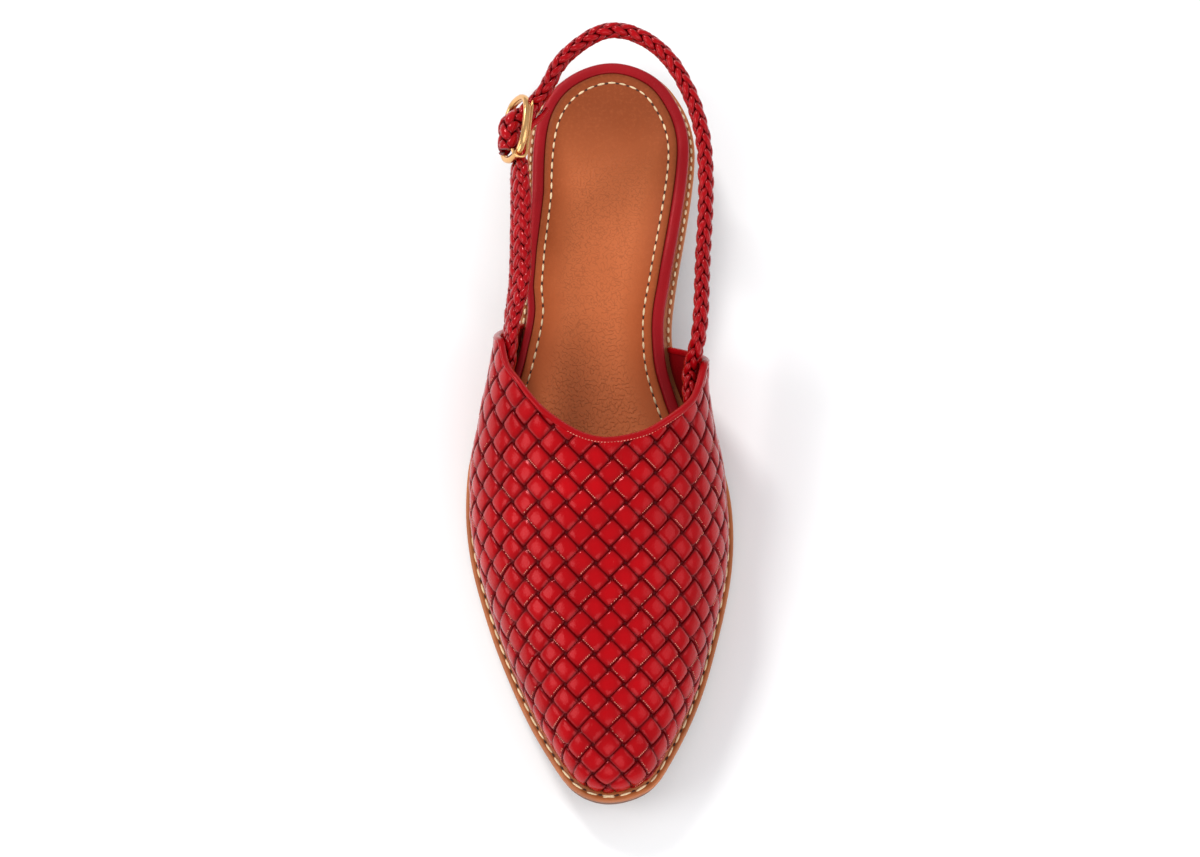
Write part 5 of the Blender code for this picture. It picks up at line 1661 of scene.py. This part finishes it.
@dataclass
class BraidedStrap:
    """Strap braided from flat strands over a core."""

    name: str
    node: str
    skin: Skin
    ring: BuckleRing
    tuck_depth: float
    # share of the length at the foot and share of the half girth
    tuck: Pairs
    # shares of the sole width, of the length and of the strap's height
    route: Triples
    # shares of the ring's length and height and of the strap's thickness
    threaded: Triples
    height: float = 0.0064
    thickness: float = 0.0050
    squareness: float = 1.0
    columns: int = 6
    pitch: float = 0.0053
    slant: float = 30.0
    inset: float = 0.00075
    core_inset: float = 0.0016
    core_cut: int = 4
    lobe: StripFloat = StripFloat(
        0.0028, 0.0014, 0.52, ((0.0, 0.46), (1.4, 0.40), (2.6, 0.10), (3.8, -0.60))
    )
    spread: Spread = Spread(0.05, 0.00006, 0.05, 21)
    tail: tuple[float, float] = (1.0, 1.0)
    tail_length: float = 0.0100
    rise: float = 0.0640
    unit_out: float = 0.0052
    step: float = 0.0006
    # share of a pitch before the first lobe, and turn over which the section's slope is taken
    first_row: float = 0.35
    slope_turn: float = 0.004

    def path(self) -> Array:
        """Return the strap's middle line."""
        tuck = np.array(self.tuck)
        ridge = self.skin.ridge_at(tuck[:, 0])
        chart = np.c_[ridge, tuck[:, 1] * self.skin.girth_at(ridge, tuck[:, 1])]
        plan, ring = self.skin.plan, self.ring
        route, passes = np.array(self.route), np.array(self.threaded)
        free = np.c_[route[:, 0] * plan.width, plan.y_at(route[:, 1]), route[:, 2] * self.rise]
        held = ring.point(*(passes * [ring.length, ring.height, self.unit_out]).T)
        tucked = self.skin.lifted(chart, -self.tuck_depth)
        return smooth_route(np.vstack([tucked, free, held]), self.step)

    def upright(self, path: Array) -> Array:
        """Return the strap's upward direction along its path."""
        return np.tile([0.0, 0.0, 1.0], (len(path), 1))

    def sizes(self, path: Array) -> Array:
        """Return the half thickness and half height along the path, grown over its tail."""
        last = np.linalg.norm(path - path[-1], axis=1)
        grown = ease(1 - (last - self.tail_length) / self.tail_length)[:, None]
        half = np.array([self.thickness / 2, self.height / 2])
        return half * (1 + (np.array(self.tail) - 1) * grown)

    def section(self, turns: Array) -> tuple[Array, Array]:
        """Return the section's shares and outward directions at turns of one, evenly round it."""
        angle = np.linspace(0, 2 * math.pi, 721)
        sides = bulged(np.c_[np.cos(angle), np.sin(angle)], self.squareness)
        scale = np.array([1.0, self.height / self.thickness])
        arc = arc_along(sides * scale)
        spots = [np.mod(turns + ahead, 1.0) * arc[-1] for ahead in (0.0, self.slope_turn)]
        here, ahead = (
            np.column_stack([np.interp(spot, arc, row) for row in sides.T]) for spot in spots
        )
        step = (ahead - here) * scale
        return here, unit(np.c_[step[:, 1], -step[:, 0]])

    def frames(self, path: Array) -> tuple[Array, Array, Array]:
        """Return the distances along the path, and the directions across and up."""
        tangent = unit(np.gradient(path, axis=0))
        across = unit(np.cross(tangent, self.upright(path)))
        return arc_along(path), across, unit(np.cross(across, tangent))

    def wrapped(self, path: Array, chart: Array, lift: Array) -> Array:
        """Return chart points, along the path and in turns round it, bent round the strap."""
        along, across, up = self.frames(path)

        def at(values: Array) -> Array:
            """Return values along the path at the chart points."""
            return np.column_stack([np.interp(chart[:, 0], along, row) for row in values.T])

        shares, outward = self.section(chart[:, 1])
        reach = shares * (at(self.sizes(path)) - self.inset) + outward * lift[:, None]
        return at(path) + at(across) * reach[:, :1] + at(up) * reach[:, 1:]

    def laid_length(self, path: Array, along: Array) -> float:
        """Return the length that carries lobes."""
        return float(along[-1])

    def build(self, tree: FloatTree, finish: GlossLeather) -> None:
        """Lay the lobes flat and bend them round a core painted dark as the shade between them."""
        path = self.path()
        along, across, up = self.frames(path)
        girth = math.pi * (self.height + self.thickness) / 2
        rows = int(self.laid_length(path, along) / self.pitch)
        spots, turns = [], []
        for column in range(self.columns):
            for row in range(rows):
                start = (row + 0.5 * (column % 2) + self.first_row) * self.pitch
                spots.append((start, column / self.columns * girth, 0.0))
                turns.append(math.radians(self.slant if column % 2 else -self.slant))
        material = finish.make()
        mesh = tree.lay(self.lobe, spots, turns, self.spread, material)
        flat = get_points(mesh)
        placed = self.wrapped(path, flat[:, :2] / [1.0, girth], flat[:, 2])
        mesh.vertices.foreach_set("co", placed.ravel())
        mesh.update()
        place(linked(self.name, mesh), material, Slot.UPPER, self.node)
        shares = self.section(np.linspace(0, 1, 13)[:-1])[0]
        sizes = self.sizes(path) - self.core_inset
        rings = swept(path, across, up, sizes, shares)[:-self.core_cut]
        core = new_object(self.name + "_core", *tube(rings), 60.0)
        # painted shade: the core takes the darkest colour in full, seen in the gaps between the
        # lobes
        for name in ("edge", "tone"):
            set_attribute(core.data, name, np.ones(len(core.data.vertices)))
        place(core, material, Slot.UPPER)


@dataclass
class BuckleBand(BraidedStrap):
    """Wide band from the lateral quarter that narrows to a tongue behind the ring."""

    # share of the length and lean towards the foot in degrees
    lean: Pairs = (
        (0.200, 28.0), (0.250, 41.0), (0.345, 48.0), (0.375, 38.0), (0.425, 14.0),
    )
    tongue_height: float = 0.0050
    tongue_thickness: float = 0.0028
    narrowing_start: float = 0.0012
    narrowing_length: float = 0.0045
    cord: float = 0.0019
    cords: tuple[float, ...] = (-0.62, 0.62)

    def upright(self, path: Array) -> Array:
        """Return the band's upward direction, which leans with the ring at its end."""
        lean = np.radians(looked_up(self.lean, self.skin.plan.share_along(path[:, 1]), 1))
        return np.c_[np.sin(lean), np.zeros(len(path)), np.cos(lean)]

    def sizes(self, path: Array) -> Array:
        """Return the half thickness and half height along the path."""
        past = path[:, 1] - self.front() + self.narrowing_start
        full = np.array([self.thickness, self.height])
        tongue = np.array([self.tongue_thickness, self.tongue_height])
        return (full + (tongue - full) * ease(past / self.narrowing_length)[:, None]) / 2

    def front(self) -> float:
        """Return y at the front of the ring."""
        return float(self.skin.plan.y_at(self.ring.along)) - self.ring.length / 2

    def laid_length(self, path: Array, along: Array) -> float:
        """Return the length that carries lobes, which ends at the ring."""
        return float(np.interp(self.front() + 0.001, path[:, 1], along))

    def build_cords(self, tree: StrandTree, finish: GlossLeather) -> None:
        """Run smooth cords from the ring to the end of the tongue."""
        path = self.path()
        _, across, up = self.frames(path)
        tall = self.sizes(path)[:, 1:]
        shown = np.flatnonzero(path[:, 1] > self.front() - 0.003)
        points, edges, radials = [], [], []
        for share in self.cords:
            first = len(points)
            points.extend((path + up * tall * share)[shown])
            edges.extend((first + i, first + i + 1) for i in range(len(shown) - 1))
            radials.extend(across[shown])
        carrier = carrier_of(points, edges, radial=np.array(radials))
        material = finish.make()
        half = self.cord / 2
        values = {"Half Thickness": half, "Half Width": half, "Sides": 10, "Material": material}
        place(linked("band_cords", tree.run(carrier, values)), material, Slot.UPPER)


# ---------------------------------------------------------------- studio


# name, place, power, size and colour of each soft lamp
LAMPS = (
    ("key", (-0.75, 1.25, 1.45), 17.0, 0.50, (1.0, 0.985, 0.96)),
    ("left", (-1.65, -0.35, 1.25), 13.0, 1.2, (1.0, 0.99, 0.98)),
    ("right", (1.65, -0.25, 1.35), 8.5, 1.4, (0.98, 0.99, 1.0)),
    ("front", (0.15, -1.75, 1.40), 15.0, 1.5, (1.0, 0.99, 0.98)),
)


@dataclass
class Studio:
    """Pale floor, soft lamps and the camera of the photograph."""

    palette: Palette
    distance: float = 1.6
    elevation: float = 70.0
    lens: float = 145.45
    target: tuple[float, float, float] = (0.0, -0.0027, 0.020)
    floor_half: float = 3.0

    def build_camera(self) -> None:
        """Set the camera."""
        data = bpy.data.cameras.new("camera")
        data.lens = self.lens
        data.sensor_width = 36.0
        data.clip_end = 20.0
        camera = linked("camera", data)
        angle = math.radians(self.elevation)
        x, y, z = self.target
        back, up = self.distance * math.cos(angle), self.distance * math.sin(angle)
        camera.location = (x, y - back, z + up)
        camera.rotation_euler = (math.pi / 2 - angle, 0.0, 0.0)
        bpy.context.scene.camera = camera

    def build_floor(self) -> None:
        """Lay the floor."""
        mesh = bpy.data.meshes.new("floor")
        low, high = -self.floor_half, self.floor_half
        corners = [(low, low, 0), (high, low, 0), (high, high, 0), (low, high, 0)]
        mesh.from_pydata(corners, [], [(0, 1, 2, 3)])
        mesh.materials.append(self.palette.ground.make())
        floor = linked("floor", mesh)

    def build_light(self) -> None:
        """Set the lamps and the sky."""
        for name, spot, power, size, colour in LAMPS:
            data = bpy.data.lights.new(name, "AREA")
            data.energy, data.shape, data.size, data.color = power, "DISK", size, colour
            lamp = linked(name, data)
            lamp.location = spot
            lamp.rotation_euler = (-Vector(spot)).to_track_quat("-Z", "Y").to_euler()
        world = bpy.data.worlds.new("sky")
        world.use_nodes = True
        sky = world.node_tree.nodes["Background"].inputs
        sky["Color"].default_value, sky["Strength"].default_value = (0.95, 0.97, 1.0, 1.0), 0.60
        bpy.context.scene.world = world
        bpy.context.scene.view_settings.view_transform = "Standard"


# ---------------------------------------------------------------- the shoe


SLING_TUCK = ((0.450, 0.530), (0.428, 0.552), (0.406, 0.575))
SLING_ROUTE = (
    (0.362, 0.430, 0.775), (0.378, 0.344, 0.828), (0.390, 0.267, 0.875), (0.388, 0.188, 0.922),
    (0.367, 0.149, 0.945), (0.343, 0.123, 0.961), (0.308, 0.097, 0.977), (0.261, 0.071, 0.989),
    (0.175, 0.044, 1.000), (0.060, 0.030, 1.000), (-0.025, 0.036, 0.984), (-0.101, 0.054, 0.969),
    (-0.160, 0.075, 0.942),
)
SLING_THREADED = (
    (0.590, 0.320, -1.250), (0.430, 0.090, -0.960), (0.208, 0.020, -0.423), (0.042, 0.000, 0.346),
    (-0.146, 0.000, 0.346), (-0.375, 0.000, 0.300),
)
BAND_TUCK = ((0.425, -0.600), (0.405, -0.590), (0.385, -0.575))
BAND_ROUTE = (
    (-0.322, 0.399, 0.745), (-0.299, 0.358, 0.775), (-0.294, 0.294, 0.808), (-0.294, 0.246, 0.836),
)
BAND_THREADED = (
    (-0.620, 0.000, -0.640), (-0.446, 0.000, -0.600), (-0.208, 0.000, -0.600),
    (-0.042, 0.000, -0.690), (0.125, 0.015, -1.080), (0.270, 0.030, -1.580), (0.395, 0.050, -1.850),
)


def build_shoe(palette: Palette) -> None:
    """Build every piece of the shoe in order."""
    plan = SolePlan()
    skin = Skin(plan)
    stitches = StitchTree()
    sole = SoleUnit(plan)
    sole.build_heel(palette.heel)
    sole.build_outsole(palette.sole)
    sole.build_welt(palette.welt)
    sole.build_stitches(stitches, palette.cream, palette.hole)
    bed = Footbed(plan, sole)
    bed.build_rim(palette.rim)
    bed.build_insole(palette.sock)
    bed.build_stitches(stitches, palette.cream, palette.hole)
    upper = WovenUpper(skin)
    floats = FloatTree()
    upper.build_weave(floats, palette.strip)
    upper.build_lining(palette.lining)
    upper.build_binding(palette.binding)
    upper.build_stitches(stitches, palette.pink)
    upper.build_flecks(stitches, palette.pink)
    ring = BuckleRing(plan)
    brass = palette.brass.make()
    ring.build_ring(brass)
    ring.build_pin(brass)
    sling = BraidedStrap(
        "sling_braid", "sling_strap", skin, ring, 0.0053, SLING_TUCK, SLING_ROUTE, SLING_THREADED,
        tail=(1.45, 1.20), tail_length=0.0115,
    )
    sling.build(floats, palette.braid)
    lobe = StripFloat(0.0029, 0.0012, 0.42, ((0.0, 0.44), (1.4, 0.38), (2.5, 0.08), (3.6, -0.55)))
    band = BuckleBand(
        "band_braid", "strap_tab", skin, ring, 0.0048, BAND_TUCK, BAND_ROUTE, BAND_THREADED,
        height=0.0090, thickness=0.0044, squareness=0.75, columns=8, pitch=0.0051, slant=32.0,
        lobe=lobe,
    )
    band.build(floats, palette.braid)
    band.build_cords(StrandTree(), palette.braid)


def main() -> None:
    """Load the frame and build the shoe in its studio."""
    logging.basicConfig(level=logging.INFO, format="%(name)s: %(message)s")
    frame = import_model()
    LOG.info("frame nodes: %d", len(frame["nodes"]))
    palette = Palette()
    studio = Studio(palette)
    studio.build_camera()
    studio.build_floor()
    studio.build_light()
    build_shoe(palette)


if __name__ == "__main__":
    main()
